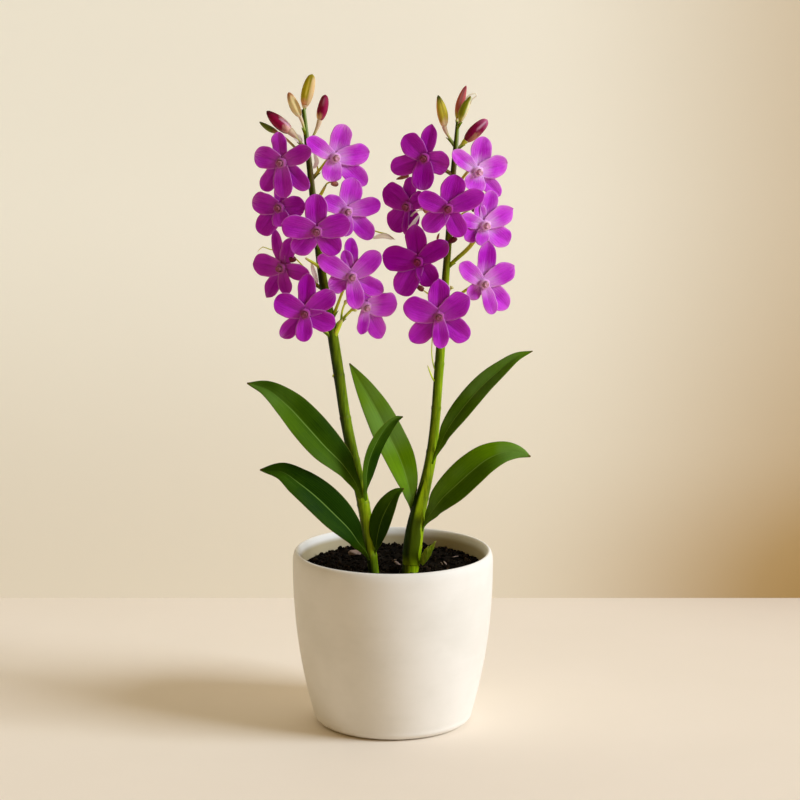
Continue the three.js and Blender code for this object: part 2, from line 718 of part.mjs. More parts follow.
/** What grows out of a cane, with the clearance that it keeps from the cane cut away. */
function clearOf(name, geometry) {
  return toGeometry(toSolid(geometry).subtract(toSolid(caneTube(canes[name], gap))));
}

// The dark sheath that wraps the front of the right cane's foot, drawn as a leaf without a blade.
const sheath = {
  cane: 'right', up: [-0.25, -0.95, 0.1], slope: -0.8,
  spine: [
    [9.4, -24.6, 101], [10, -24, 113], [11.8, -22.8, 128], [14.8, -21.6, 140], [17.6, -20.8, 152],
  ],
  widths: [9, 9.5, 8, 6, 1.4],
};

function sheathGeometry() {
  const curve = curveThrough(sheath.spine);
  const up = vec(...sheath.up).normalize();
  const last = sheath.widths.length - 1;
  const grid = sheath.widths.map((width, i) => {
    const lengthwise = curve.getTangentAt(i / last);
    const across = up.clone().cross(lengthwise).normalize();
    const normal = lengthwise.clone().cross(across);
    return [-1, 0, 1].map((v) => (
      curve.getPointAt(i / last)
        .addScaledVector(across, (width / 2) * v)
        .addScaledVector(normal, sheath.slope * (width / 2) * Math.abs(v))
    ));
  });
  return blade(grid, leafForm.thickness);
}

// The small new shoot at the foot of the right cane: scale leaves that fan out from one point.
const shoot = {
  cane: 'right', root: [17, -20.5, 101.5], width: 4.2, widths: [0.7, 1, 0.75, 0.25],
  tips: [[25.7, -28, 117.5], [23.4, -25, 112.4], [21.2, -27.5, 114.2]],
};

function shootGeometry() {
  const root = vec(...shoot.root);
  const last = shoot.widths.length - 1;
  const scales = shoot.tips.map((point, k) => {
    const tip = vec(...point);
    const lengthwise = tip.clone().sub(root).normalize();
    const across = vec(-0.3, -0.9, 0.2 * k).cross(lengthwise).normalize();
    const grid = shoot.widths.map((share, i) => [-1, 1].map((v) => (
      root.clone().lerp(tip, i / last).addScaledVector(across, (shoot.width / 2) * share * v)
    )));
    return blade(grid, leafForm.thickness);
  });
  return toGeometry(joined(scales));
}

// ---- Soil ---------------------------------------------------------------------------------------

/** Height of the lumpy potting mix over its level; it dies out at the wall. */
function lump(x, y) {
  const waves = Math.sin(0.31 * x + 1.7) * Math.cos(0.27 * y - 0.6)
    + 0.7 * Math.sin(0.19 * x - 0.37 * y + 2.1) + 0.5 * Math.cos(0.52 * x + 0.44 * y);
  const inside = 1 - (Math.hypot(x, y) / soil.calmRadius) ** 6;
  return soil.relief * waves * Math.max(0, inside);
}

function soilGeometry() {
  const n = pot.segments;
  const ring = (radius, heightAt) => Array.from({ length: n }, (_, k) => {
    const turn = (-2 * Math.PI * k) / n;
    const x = radius * Math.sin(turn);
    const y = radius * Math.cos(turn);
    return vec(x, y, heightAt(x, y));
  });
  const top = soil.rings.map((radius) => ring(radius, (x, y) => soil.level + lump(x, y)));
  const wall = boreHeights.map((z) => ring(boreRadius(z) - gap, () => z)).reverse();
  const bottom = [ring(floorRadius - gap, () => pot.floor + gap)];
  const body = toSolid(ringSolid([...top, ...wall, ...bottom].reverse()));
  return Object.values(canes).reduce((rest, one) => rest.subtract(holeFor(one)), body);
}

// A loose chip of bark that lies on the potting mix, as a low faceted pebble.
const chip = { centre: [-23, 19.5], length: 8, width: 5.5, height: 3, seat: 1.2 };

function chipGeometry() {
  const [x, y] = chip.centre;
  const around = (share, z) => Array.from({ length: 7 }, (_, k) => {
    const turn = (2 * Math.PI * k) / 7;
    const bumpy = share * (k % 2 ? 0.86 : 1);
    const right = (bumpy * chip.length * Math.cos(turn)) / 2;
    const backward = (bumpy * chip.width * Math.sin(turn)) / 2;
    return vec(x + right, y + backward, z);
  });
  const seat = soil.level + chip.seat;
  const rings = [[0.7, 0], [1, 0.4], [0.6, 1]];
  return ringSolid(rings.map(([share, rise]) => around(share, seat + rise * chip.height)));
}

/** The plain hole in the potting mix that a cane stands in. */
function holeFor(one) {
  const foot = one.curve.getPointAt(0);
  const down = one.curve.getTangentAt(0).negate();
  const top = one.curve.getPointAt(placeAt(one, soil.level + 8));
  const axis = new THREE.LineCurve3(foot.addScaledVector(down, gap), top);
  const radius = along(one.heights, one.diameters, soil.level) / 2 + 2 * gap;
  return toSolid(tube(axis, [0, 1], () => radius, 12));
}

// ---- Assembly -----------------------------------------------------------------------------------

addPiece('pot', potGeometry(), looks.ceramic);
addPiece('potting_mix', toGeometry(soilGeometry()), looks.mix);
addPiece('cane_left', caneGeometry('left'), looks.cane);
addPiece('cane_right', caneGeometry('right'), looks.cane);
for (const [name, leaf] of Object.entries(leaves)) {
  addPiece(name, clearOf(leaf.cane, leafGeometry(leaf)), looks.leaf);
}
addPiece('sheath_right', clearOf(sheath.cane, sheathGeometry()), looks.sheath);
addPiece('shoot_right', clearOf(shoot.cane, shootGeometry()), looks.shoot);
addPiece('bark_chip', chipGeometry(), looks.bark);
for (const [name, bloom] of Object.entries(blooms)) {
  addPiece(`bloom_${name}`, bloomGeometry(bloom), looks.bloom);
  addPiece(`column_${name}`, columnGeometry(vec(...bloom.centre), facing(bloom)), looks.column);
}
for (const [name, bud] of Object.entries(buds)) {
  addPiece(`bud_${name}`, budGeometry(bud), looks[bud.look]);
}

export default orchid;
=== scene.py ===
# %% [markdown]
# # A potted dendrobium orchid
#
# The plant is two upright canes in a white ceramic pot. Each cane carries leaves below and a spray
# of purple blooms above, with unopened buds at its tip. The construction is already fixed: plain
# solids say where each piece is and how big it is. This lesson gives every one of them its fine
# surface and its finish, and adds what a plain solid can't hold, such as veins, crumbs and bracts.
#
# All shapes are worked out in millimetres with numpy, as whole arrays, and become metres only when
# they are handed to Blender.

# %% The fixed frame
import math

import bpy
import numpy as np
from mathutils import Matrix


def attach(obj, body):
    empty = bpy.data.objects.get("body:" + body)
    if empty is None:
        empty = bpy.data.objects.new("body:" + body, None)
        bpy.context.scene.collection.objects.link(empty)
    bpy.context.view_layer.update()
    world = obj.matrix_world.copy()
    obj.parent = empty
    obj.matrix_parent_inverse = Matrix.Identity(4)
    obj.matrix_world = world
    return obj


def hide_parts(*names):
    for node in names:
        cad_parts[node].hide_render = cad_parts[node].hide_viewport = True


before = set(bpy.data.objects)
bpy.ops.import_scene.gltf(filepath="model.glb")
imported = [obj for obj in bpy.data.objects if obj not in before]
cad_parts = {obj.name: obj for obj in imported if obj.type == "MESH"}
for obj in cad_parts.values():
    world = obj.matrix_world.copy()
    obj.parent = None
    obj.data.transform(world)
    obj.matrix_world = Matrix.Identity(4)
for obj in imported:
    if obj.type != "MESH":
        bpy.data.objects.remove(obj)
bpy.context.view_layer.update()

MM = 0.001  # one millimetre in the frame's metres
FULL_TURN = 2 * np.pi

# %% [markdown]
# ## A few tools of the trade
#
# Organic forms are mostly lines with something carried along them: a stalk is a ring carried along
# a line, a leaf is a flat lens carried along its midrib. So the tools are a smooth line through
# points, a way to read it anywhere, and soft steps and humps to vary what is carried.

# %% Soft steps and humps


def unit(v):
    """Each vector divided by its own length."""
    return v / np.maximum(np.linalg.norm(v, axis=-1, keepdims=True), 1e-9)


def mix(a, b, share):
    """From a at share 0 to b at share 1, in a straight line."""
    return a + (b - a) * share


def smooth(low, high, x):
    """0 below low and 1 above high, with the S-curve 3t² − 2t³ between them."""
    t = np.clip((x - low) / (high - low), 0, 1)
    return t * t * (3 - 2 * t)


def hump(x, centre, width):
    """A bell of height 1: e to the minus square of the distance from its centre, in widths."""
    return np.exp(-(((x - centre) / width) ** 2))


def turns(count):
    """Angles at even steps round a circle, from 0."""
    return np.linspace(0, FULL_TURN, count, endpoint=False)


def facing(yaw, pitch):
    """(sin yaw · cos pitch, −cos yaw · cos pitch, sin pitch): from the front, right and up."""
    yaw, pitch = math.radians(yaw), math.radians(pitch)
    level = math.cos(pitch)
    return np.array([math.sin(yaw) * level, -math.cos(yaw) * level, math.sin(pitch)])


# %% A smooth line through points


def running(points):
    """How far along the line each of its points lies."""
    return np.concatenate([[0], np.cumsum(np.linalg.norm(np.diff(points, axis=0), axis=1))])


def evenly(points, count):
    """The same line as `count` points at equal steps of its length."""
    run = running(points)
    at = np.linspace(0, run[-1], count)
    return np.stack([np.interp(at, run, points[:, k]) for k in range(3)], -1)


def line_through(points, count=400):
    """A smooth line through the points, at equal steps.

    Between two points it is the cubic whose slope at each end leans on both neighbours, weighted
    by the square roots of their distances, so that it never loops (a centripetal Catmull-Rom line).
    """
    p = np.asarray(points, float)
    p = np.vstack([2 * p[0] - p[1], p, 2 * p[-1] - p[-2]])
    gap = np.sqrt(np.linalg.norm(np.diff(p, axis=0), axis=1))[:, None]
    before, here, after = gap[:-2], gap[1:-1], gap[2:]
    a, b, c, d = p[:-3], p[1:-2], p[2:-1], p[3:]
    leave = here * ((b - a) / before - (c - a) / (before + here) + (c - b) / here)
    reach = here * ((c - b) / here - (d - b) / (here + after) + (d - c) / after)
    t = np.linspace(0, 1, 60)[:, None, None]
    dense = b + leave * t + (3 * (c - b) - 2 * leave - reach) * t**2
    dense = dense + (2 * (b - c) + leave + reach) * t**3
    return evenly(dense.transpose(1, 0, 2).reshape(-1, 3), count)


def read(line, share):
    """The points of a line at shares of its length, 0 to 1."""
    at = np.linspace(0, 1, len(line))
    return np.stack([np.interp(share, at, line[:, k]) for k in range(3)], -1)


def level_curve(stations, values, x):
    """A smooth reading, at x, of values that are given at a few stations."""
    line = line_through([(s, v, 0) for s, v in zip(stations, values)])
    return np.interp(x, line[:, 0], line[:, 1])


# %% [markdown]
# ## From grids to closed meshes
#
# A ring-by-ring grid of points becomes a closed skin: quads from each ring to the next, and a fan
# over the middle of the first and last ring. Everything here but the crumbs is such a skin, even a
# leaf, whose ring is a flat lens. That keeps every piece watertight with its faces pointing out,
# because each ring runs counterclockwise about the way the rings advance.
#
# A skin also carries numbers for its points, such as how far along a petal they are. The finishes
# read them, so veins and margins follow the surface wherever it bends.

# %% Skins and pieces


def skin(grid, **values):
    """A closed surface through the rings of a grid, with a middle point over each end."""
    rows, around = grid.shape[:2]
    start = np.arange(rows - 1)[:, None] * around
    here = start + np.arange(around)
    beside = start + (np.arange(around) + 1) % around
    quads = np.stack([here, beside, beside + around, here + around], -1).reshape(-1, 4)
    k = np.arange(around)
    beside = (k + 1) % around
    top = (rows - 1) * around
    first, last = np.full(around, rows * around), np.full(around, rows * around + 1)
    fans = np.concatenate(
        [np.stack([first, beside, k], -1), np.stack([last, top + k, top + beside], -1)]
    )

    def closed(array):
        """The rings' values in a row, then the means of the first and the last ring."""
        flat = array.reshape(rows * around, -1)
        return np.concatenate([flat, array[:1].mean(1), array[-1:].mean(1)])

    spread = {
        name: closed(np.broadcast_to(value, (rows, around)).astype(float)[..., None])[:, 0]
        for name, value in values.items()
    }
    return {"points": closed(grid), "quads": quads, "fans": fans, "values": spread}


def piece(name, skins, finish, replaces=()):
    """One object from several skins: it rides on the only body and stands for its solids."""
    counts = np.cumsum([0] + [len(s["points"]) for s in skins])
    quads = np.concatenate([s["quads"] + n for s, n in zip(skins, counts)])
    fans = np.concatenate([s["fans"] + n for s, n in zip(skins, counts)])
    mesh = bpy.data.meshes.new(name)
    mesh.vertices.add(counts[-1])
    points = np.concatenate([s["points"] for s in skins]) * MM
    mesh.vertices.foreach_set("co", points.astype(np.float32).ravel())
    sizes = np.concatenate([np.full(len(quads), 4), np.full(len(fans), 3)])
    mesh.loops.add(int(sizes.sum()))
    corners = np.concatenate([quads.ravel(), fans.ravel()])
    mesh.loops.foreach_set("vertex_index", corners.astype(np.int32))
    mesh.polygons.add(len(sizes))
    starts = np.concatenate([[0], np.cumsum(sizes)[:-1]])
    mesh.polygons.foreach_set("loop_start", starts.astype(np.int32))
    mesh.polygons.foreach_set("use_smooth", np.ones(len(sizes), bool))
    for key in sorted(set().union(*(s["values"] for s in skins))):
        numbers = [s["values"].get(key, np.zeros(len(s["points"]))) for s in skins]
        layer = mesh.attributes.new(key, "FLOAT", "POINT")
        layer.data.foreach_set("value", np.concatenate(numbers).astype(np.float32))
    mesh.update(calc_edges=True)
    mesh.materials.append(finish)
    made = bpy.data.objects.new(name, mesh)
    bpy.context.scene.collection.objects.link(made)
    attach(made, "root")
    if replaces:
        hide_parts(*replaces)
    return made


# %% Tubes and blades


def tube_grid(path, radii, sides, reference):
    """Rings carried along a path: path + radius · (side · cos a + up · sin a).

    `side` is the reference direction made square to the path, and up = direction × side. `radii`
    has a number for each ring, or one for each point of each ring.
    """
    direction = unit(np.gradient(path, axis=0))
    side = unit(reference - direction * (direction @ reference)[:, None])
    up = np.cross(direction, side)
    turn = turns(sides)[None, :, None]
    ring = side[:, None] * np.cos(turn) + up[:, None] * np.sin(turn)
    radii = np.asarray(radii, float)
    radii = radii[:, None] if radii.ndim == 1 else radii
    return path[:, None] + ring * radii[..., None]


def lens(columns):
    """The way round a blade: place across it, 1 to −1 and back, and its share of the thickness.

    The place is a blend of cos a and a straight run, which packs the points towards the margins.
    The share is the root of 1 − place⁴, positive on the upper face and negative on the lower one.
    """
    a = turns(2 * columns)
    straight = 1 - 2 * np.abs(np.where(a > np.pi, FULL_TURN - a, a)) / np.pi
    place = 0.6 * np.cos(a) + 0.4 * straight
    return place, np.sign(np.sin(a)) * np.sqrt(np.clip(1 - place**4, 0, 1))


def blade_grid(spine, across, normal, half, lift, thickness, columns):
    """Lens-shaped rings carried along a spine.

    A point is spine + across · half width · place + normal · (lift + half thickness · share). The
    half width is a number for each ring, or one for each point of each ring. `across` and `normal`
    are one direction for each ring, or one for all.
    """
    place, share = lens(columns)
    half = half[:, None] if half.ndim == 1 else half
    width = (half * place)[..., None]
    rise = (lift + 0.5 * thickness * share)[..., None]
    across, normal = np.atleast_2d(across)[:, None], np.atleast_2d(normal)[:, None]
    return spine[:, None] + across * width + normal * rise


def ribbon(points, up, u, count):
    """A smooth line read at shares u, the way across it, and the way its upper face looks."""
    line = line_through(points, count)
    spine, way = read(line, u), read(unit(np.gradient(line, axis=0)), u)
    across = unit(np.cross(unit(np.array(up, float)), way))
    return spine, across, np.cross(way, across)


def circle(side, up, turn):
    """A ring of directions: side · cos a + up · sin a."""
    return side * np.cos(turn)[:, None] + up * np.sin(turn)[:, None]


# %% [markdown]
# ## A short way to write finishes
#
# A finish is a tree of nodes. Written out node by node it gets long, so a small class adds a node,
# fills its inputs with numbers or with other nodes' outputs, and gives its output back. Outputs can
# be added and multiplied like numbers, and colours are laid over one another as coats. What is the
# same all over a surface goes straight onto the shader's own sockets.

# %% Finish

NOISE_ROUGHNESS = 0.55


def paint(red, green, blue):
    """A colour from its screen values, 0 to 255, as the linear numbers that a shader takes."""
    screen = np.array([red, green, blue]) / 255
    linear = np.where(screen <= 0.04045, screen / 12.92, ((screen + 0.055) / 1.055) ** 2.4)
    return (*linear.tolist(), 1.0)


class Value:
    """A node's output. Arithmetic on it adds one Math node for each sign."""

    def __init__(self, finish, socket):
        self.finish, self.socket = finish, socket

    def __add__(self, other):
        return self.finish.math("ADD", self, other)

    def __sub__(self, other):
        return self.finish.math("SUBTRACT", self, other)

    def __rsub__(self, other):
        return self.finish.math("SUBTRACT", other, self)

    def __mul__(self, other):
        return self.finish.math("MULTIPLY", self, other)

    def __pow__(self, other):
        return self.finish.math("POWER", self, other)

    def __abs__(self):
        return self.finish.math("ABSOLUTE", self)


class Finish:
    """A material in the making: each method adds nodes and hands back the last one's output."""

    def __init__(self, name):
        self.material = bpy.data.materials.new(name)
        self.material.use_nodes = True
        self.tree = self.material.node_tree
        self.tree.nodes.clear()

    def node(self, kind, inputs=None, output=0, **settings):
        """A node whose inputs are numbers or other nodes' outputs."""
        made = self.tree.nodes.new("ShaderNode" + kind)
        for key, value in settings.items():
            setattr(made, key, value)
        for socket, value in (inputs or {}).items():
            if isinstance(value, Value):
                self.tree.links.new(value.socket, made.inputs[socket])
            else:
                made.inputs[socket].default_value = value
        return Value(self, made.outputs[output]) if made.outputs else None

    def number(self, name):
        """A number that the mesh carries."""
        return self.node("Attribute", output="Fac", attribute_name=name)

    def math(self, operation, a, b=0.0):
        """One sum on one or two values."""
        return self.node("Math", {0: a, 1: b}, operation=operation)

    def place(self, stretch=(1, 1, 1)):
        """The point on the object, in metres, stretched along each axis."""
        here = self.node("TexCoord", output="Object")
        return self.node("Mapping", {"Vector": here, "Scale": stretch})

    def height(self):
        """How far above the table the point is, in metres."""
        return self.node("SeparateXYZ", {0: self.node("TexCoord", output="Object")}, output=2)

    def noise(self, scale, detail, stretch=(1, 1, 1), vector=None):
        """Cloudy values round 0.5, with features 1/scale metres across."""
        vector = vector or self.place(stretch)
        inputs = {"Vector": vector, "Scale": scale, "Detail": detail, "Roughness": NOISE_ROUGHNESS}
        return self.node("TexNoise", inputs)

    def fade(self, value, low, high, start=0.0, end=1.0):
        """From start below low to end above high, along an S-curve."""
        inputs = {0: value, 1: low, 2: high, 3: start, 4: end}
        return self.node("MapRange", inputs, interpolation_type="SMOOTHSTEP")

    def blend(self, share, a, b):
        """Colour a at share 0, colour b at share 1; plain colours are given by screen values."""
        a, b = (c if isinstance(c, Value) else paint(*c) for c in (a, b))
        return self.node("Mix", {0: share, 6: a, 7: b}, output=2, data_type="RGBA")

    def coats(self, colour, *coats):
        """Coats laid over a colour one by one, each of them a share and a colour."""
        for share, tint in coats:
            colour = self.blend(share, colour, tint)
        return colour

    def bump(self, height, depth, normal=None):
        """Relief of a height map, `depth` millimetres deep."""
        inputs = {"Height": height, "Distance": depth * MM, "Strength": 1.0}
        if normal is not None:
            inputs["Normal"] = normal
        return self.node("Bump", inputs)

    def surface(self, colour, roughness, normal=None, specular=0.5, soft=None, radius=None):
        """The shader; `soft` is how much light scatters inside and how far, in metres."""
        inputs = {"Base Color": colour, "Roughness": roughness, "Specular IOR Level": specular}
        if normal is not None:
            inputs["Normal"] = normal
        if soft:
            inputs["Subsurface Weight"], inputs["Subsurface Scale"] = soft
        if radius:
            inputs["Subsurface Radius"] = radius
        self.node("OutputMaterial", {"Surface": self.node("BsdfPrincipled", inputs)})
        return self.material


# %% [markdown]
# ## Camera, floor and light
#
# The plant stands on a pale cream table in front of a cream wall, which glows faintly by itself
# as painted light and carries painted shade that deepens to the right and towards the table. A
# large soft lamp on the right, a little in front and a third of the way up, models the pot from
# bright to beige, and the warm room fills in the rest. The wall is left open from behind, so that
# the plant can be looked at from every side.

# %% Camera

CAMERA_AT = (0.0043, -1.5, 0.4826)
LOOKS_DOWN = 10.81  # degrees below the horizon
LENS, FILM = 115.99, 36  # millimetres

scene = bpy.context.scene
camera_data = bpy.data.cameras.new("camera")
camera_data.lens = LENS
camera_data.sensor_width = FILM
camera_data.clip_start = 0.05
camera = bpy.data.objects.new("camera", camera_data)
camera.location = CAMERA_AT
camera.rotation_euler = (math.radians(90 - LOOKS_DOWN), 0, 0)
scene.collection.objects.link(camera)
scene.camera = camera
scene.view_settings.view_transform = "Standard"
print("camera", CAMERA_AT, "lens", LENS)

# %% Floor and wall

WALL_BEHIND = 0.276  # how far behind the pot's middle the wall meets the table
STAGE_HALF = 3.0
# the wall's own glow: painted light from a surface that is no lamp
WALL_LIGHT = (0.27, 0.30, 0.29, 1.0)


def plane(name, corners, finish):
    """One flat face of the stage, which isn't part of the object."""
    mesh = bpy.data.meshes.new(name)
    mesh.from_pydata(corners, [], [(0, 1, 2, 3)])
    mesh.materials.append(finish)
    made = bpy.data.objects.new(name, mesh)
    scene.collection.objects.link(made)


def table_finish():
    """Smooth pale cream with the faintest cloudiness."""
    f = Finish("table_cream")
    colour = f.blend(f.noise(9, 4), (242, 230, 212), (247, 235, 219))
    return f.surface(colour, 0.8, specular=0.25)


def wall_finish():
    """Matt cream glowing by itself as painted light, with painted shade right and low; clear
    behind.
    """
    f = Finish("wall_cream")
    colour = f.blend(f.noise(3, 4), (232, 219, 194), (237, 225, 202))
    here = f.node("TexCoord", output="Object")
    right, height = (f.node("SeparateXYZ", {0: here}, output=axis) for axis in (0, 2))
    # painted shade: the wall darkens to the right and towards the table, most in the lower right
    # corner, and its painted glow dims there too
    corner = f.fade(height, 0.12, 0.0, 0.0, 0.3) * f.fade(right, -0.05, 0.3, 0.0, 0.75)
    shade = f.fade(height, 0.3, 0.0, 0.0, 0.3) + corner + f.fade(right, 0.06, 0.36) * 0.66
    matt = f.node("BsdfDiffuse", {"Color": f.blend(shade, colour, (198, 168, 119))})
    own = f.node("Emission", {"Color": WALL_LIGHT, "Strength": 1.0 - shade})
    lit = f.node("AddShader", {0: matt, 1: own})
    behind = f.node("NewGeometry", output="Backfacing")
    seen = f.node("MixShader", {0: behind, 1: lit, 2: f.node("BsdfTransparent")})
    f.node("OutputMaterial", {"Surface": seen})
    return f.material


s, y = STAGE_HALF, WALL_BEHIND
plane("floor", [(-s, -s, 0), (s, -s, 0), (s, s, 0), (-s, s, 0)], table_finish())
plane("wall", [(-s, y, 0), (s, y, 0), (s, y, s), (-s, y, s)], wall_finish())

# %% Light

KEY_SIDE = 71.5  # degrees to the right of the camera's side
KEY_HEIGHT = 31  # degrees above the horizon
KEY_AWAY = 6.0
KEY_SIZE = 2.6
KEY_POWER = 356
KEY_COLOUR = (0.86, 0.96, 1.1)
AIM = np.array([0, 0, 0.2])
ROOM_COLOUR = (1.0, 0.69, 0.27)
ROOM_POWER = 0.25


def soft_lamp(name, side, height, away, size, power, colour):
    """A square lamp of the given size that looks at the plant from `side` and `height` degrees."""
    lamp = bpy.data.lights.new(name, "AREA")
    lamp.shape, lamp.size, lamp.energy, lamp.color = "SQUARE", size, power, colour
    made = bpy.data.objects.new(name, lamp)
    made.location = AIM + facing(side, height) * away
    made.rotation_euler = (math.radians(90 - height), 0, math.radians(side))
    scene.collection.objects.link(made)


soft_lamp("key", KEY_SIDE, KEY_HEIGHT, KEY_AWAY, KEY_SIZE, KEY_POWER, KEY_COLOUR)
world = bpy.data.worlds.new("room")
world.use_nodes = True
world.node_tree.nodes["Background"].inputs["Color"].default_value = (*ROOM_COLOUR, 1)
world.node_tree.nodes["Background"].inputs["Strength"].default_value = ROOM_POWER
scene.world = world

# %% [markdown]
# ## The pot
#
# A thrown or cast ceramic pot is a profile turned about its axis: a flat underside, a rounded foot,
# a wall that curves in late, and a round lip. The wall's radius is one formula, so that the outline
# stays fair. The glaze is matt and cream-white. It isn't perfectly even: soft clouds, the faintest
# rings from the making and a fine tooth keep it from looking like plastic.

# %% The pot's profile

POT_HEIGHT = 105
RIM_RADIUS, RIM_START = 60, 98.5
BELLY_DROP, BELLY_POWER = 13.7, 2.16
FOOT_RADIUS, CORNER = 41, 5
LIP_RADIUS, INNER_RADIUS = 2.3, 55.4
FLOOR, FLOOR_FILLET = 7, 5
WALL_AT_FLOOR, WALL_AT_SOIL = 7.2, 6.2  # how thick the wall is
SOIL_LEVEL, SOIL_EDGE = 95.5, 94.5
INSIDE_FROM = FLOOR + 7  # above the rounded edge of the floor
ARC_STEP = 8  # degrees between points on the foot's corner and the lip
POT_SIDES = 192


def wall_radius(z):
    """Rim radius − drop · (1 − z / rim start)^power, straight above the rim start."""
    return RIM_RADIUS - BELLY_DROP * np.maximum(0, 1 - z / RIM_START) ** BELLY_POWER


def bore_radius(z):
    """The wall's radius less its thickness, which shrinks evenly from the floor to the soil."""
    thickness = mix(WALL_AT_FLOOR, WALL_AT_SOIL, z / SOIL_EDGE)
    return np.minimum(wall_radius(z) - thickness, INNER_RADIUS)


def pot_profile():
    """Radius and height from the underside up the outside, over the lip and down the inside."""
    turn = np.radians(np.arange(ARC_STEP, 90, ARC_STEP))
    corner_radius = wall_radius(CORNER) - FOOT_RADIUS
    corner = np.stack([FOOT_RADIUS + corner_radius * np.sin(turn), CORNER * (1 - np.cos(turn))], 1)
    z = np.linspace(CORNER, RIM_START, 60)
    outside = np.stack([wall_radius(z), z], 1)
    turn = np.radians(np.arange(ARC_STEP, 158, ARC_STEP))
    arc = np.stack([LIP_RADIUS * np.cos(turn), (POT_HEIGHT - RIM_START) * np.sin(turn)], 1)
    lip = [RIM_RADIUS - LIP_RADIUS, RIM_START] + arc
    z = np.linspace(SOIL_EDGE, INSIDE_FROM, 24)
    inside = np.stack([bore_radius(z), z], 1)
    floor_edge = [[float(bore_radius(FLOOR)) - FLOOR_FILLET, FLOOR]]
    return np.concatenate([[[FOOT_RADIUS, 0]], corner, outside, lip, inside, floor_edge])


def turned(profile, sides):
    """A profile of radius and height turned about the Z axis, as rings."""
    a = turns(sides)
    r, z = profile[:, :1], profile[:, 1:]
    return np.stack([r * np.cos(a), r * np.sin(a), np.broadcast_to(z, (len(z), sides))], -1)


# %% The pot's glaze and the pot


def glaze_finish():
    """Cloudy cream-white with a few specks and the faintest rings, and painted beige shade inside
    the rim.
    """
    f = Finish("matt_cream_glaze")
    rings, clouds = f.noise(30, 2, (0.02, 0.02, 6)), f.noise(22, 4)
    tone = f.fade(rings * 0.12 + clouds * 0.88, 0.35, 0.65)
    specks = f.fade(f.noise(2600, 1), 0.74, 0.8)
    radius = f.node("VectorMath", {0: f.place((1, 1, 0))}, output=1, operation="LENGTH")
    # painted shade inside the rim: the band of inner wall above the soil is made beige
    above = f.fade(f.height(), 0.088, 0.09) * f.fade(f.height(), 0.099, 0.103, 1.0, 0.0)
    colour = f.coats(
        f.blend(tone, (234, 229, 219), (242, 237, 228)),
        (specks * 0.25, (196, 182, 160)),
        (f.fade(radius, 0.0566, 0.0554) * above, (180, 164, 128)),
    )
    normal = f.bump(rings, 0.012, f.bump(f.noise(3200, 2), 0.02))
    return f.surface(colour, f.fade(clouds, 0.3, 0.7, 0.52, 0.62), normal, specular=0.25)


# A profile that is read upwards has rings that run counterclockwise about +Z, so it faces out.
pot_rings = turned(pot_profile(), POT_SIDES)
pot = piece("pot_glazed", [skin(pot_rings)], glaze_finish(), ["pot"])
print("pot:", len(pot.data.polygons), "faces")

# %% [markdown]
# ## The potting mix
#
# Orchid mix is crumbly, dark and never flat. One lumpy surface gives the ground its slow swells,
# and some two thousand loose crumbs on top give it the grain that a bump map can't: they overlap,
# cast shadows and make the ragged edge along the pot's wall. Each crumb is the same ball of
# triangles, squashed, turned and dented by seeded random numbers, all in one array.

# %% Ground

CALM_RADIUS = 53
GROUND_SEED = 11
GROUND_SIDES, GROUND_RINGS = 168, 72
WALL_GAP = 0.3  # between the mix and the pot


def lump(x, y):
    """Slow swells of the mix: three crossed waves that die out towards the wall."""
    swell = np.sin(0.31 * x + 1.7) * np.cos(0.27 * y - 0.6)
    swell = swell + 0.7 * np.sin(0.19 * x - 0.37 * y + 2.1) + 0.5 * np.cos(0.52 * x + 0.44 * y)
    return swell * np.maximum(0, 1 - (np.hypot(x, y) / CALM_RADIUS) ** 6)


def crumble(x, y, longest, count, seed):
    """A sum of plane waves in random directions, each shorter and lower than the one before."""
    rng = np.random.default_rng(seed)
    way, phase = rng.uniform(0, FULL_TURN, (2, count))
    length = longest / (1 + 0.12 * np.arange(count))
    flat = x[..., None] * np.cos(way) + y[..., None] * np.sin(way)
    waves = np.sin(FULL_TURN * flat / length + phase) * (length / longest)
    return waves.sum(-1) / math.sqrt(count)


def ground_height(x, y):
    """The mix's level with its swells and crumble, a little lower where it meets the wall."""
    out = np.hypot(x, y)
    level = mix(SOIL_LEVEL, SOIL_EDGE, smooth(CALM_RADIUS - 6, CALM_RADIUS + 1, out))
    return level + lump(x, y) + 0.55 * crumble(x, y, 11, 36, GROUND_SEED)


def ground_skin():
    """The top as rings that close in on the middle, then the sides down the pot's bore."""
    turn = turns(GROUND_SIDES)
    z = np.linspace(INSIDE_FROM, SOIL_EDGE - 2, 8)
    sides = turned(np.stack([bore_radius(z) - WALL_GAP, z], 1), GROUND_SIDES)
    r = np.linspace(float(bore_radius(SOIL_EDGE)) - WALL_GAP, 0.6, GROUND_RINGS)[:, None]
    x, y = r * np.cos(turn), r * np.sin(turn)
    top = np.stack([x, y, ground_height(x, y)], -1)
    return skin(np.concatenate([sides, top]), tone=0.35)


# %% Crumbs


def ball():
    """An octahedron with each face cut in four and every point pushed out to radius 1."""
    tips = np.array([[1, 0, 0], [0, 1, 0], [-1, 0, 0], [0, -1, 0], [0, 0, 1], [0, 0, -1]], float)
    rim = [(k, (k + 1) % 4) for k in range(4)]
    faces = [(a, b, 4) for a, b in rim] + [(b, a, 5) for a, b in rim]
    middles, points, cut = {}, list(tips), []

    def middle(a, b):
        """The point halfway between two others, made when it is first asked for."""
        key = (min(a, b), max(a, b))
        if key not in middles:
            middles[key] = len(points)
            points.append(unit(tips[a] + tips[b]))
        return middles[key]

    for a, b, c in faces:
        ab, bc, ca = middle(a, b), middle(b, c), middle(c, a)
        cut += [(a, ab, ca), (ab, b, bc), (ca, bc, c), (ab, bc, ca)]
    return np.array(points), np.array(cut)


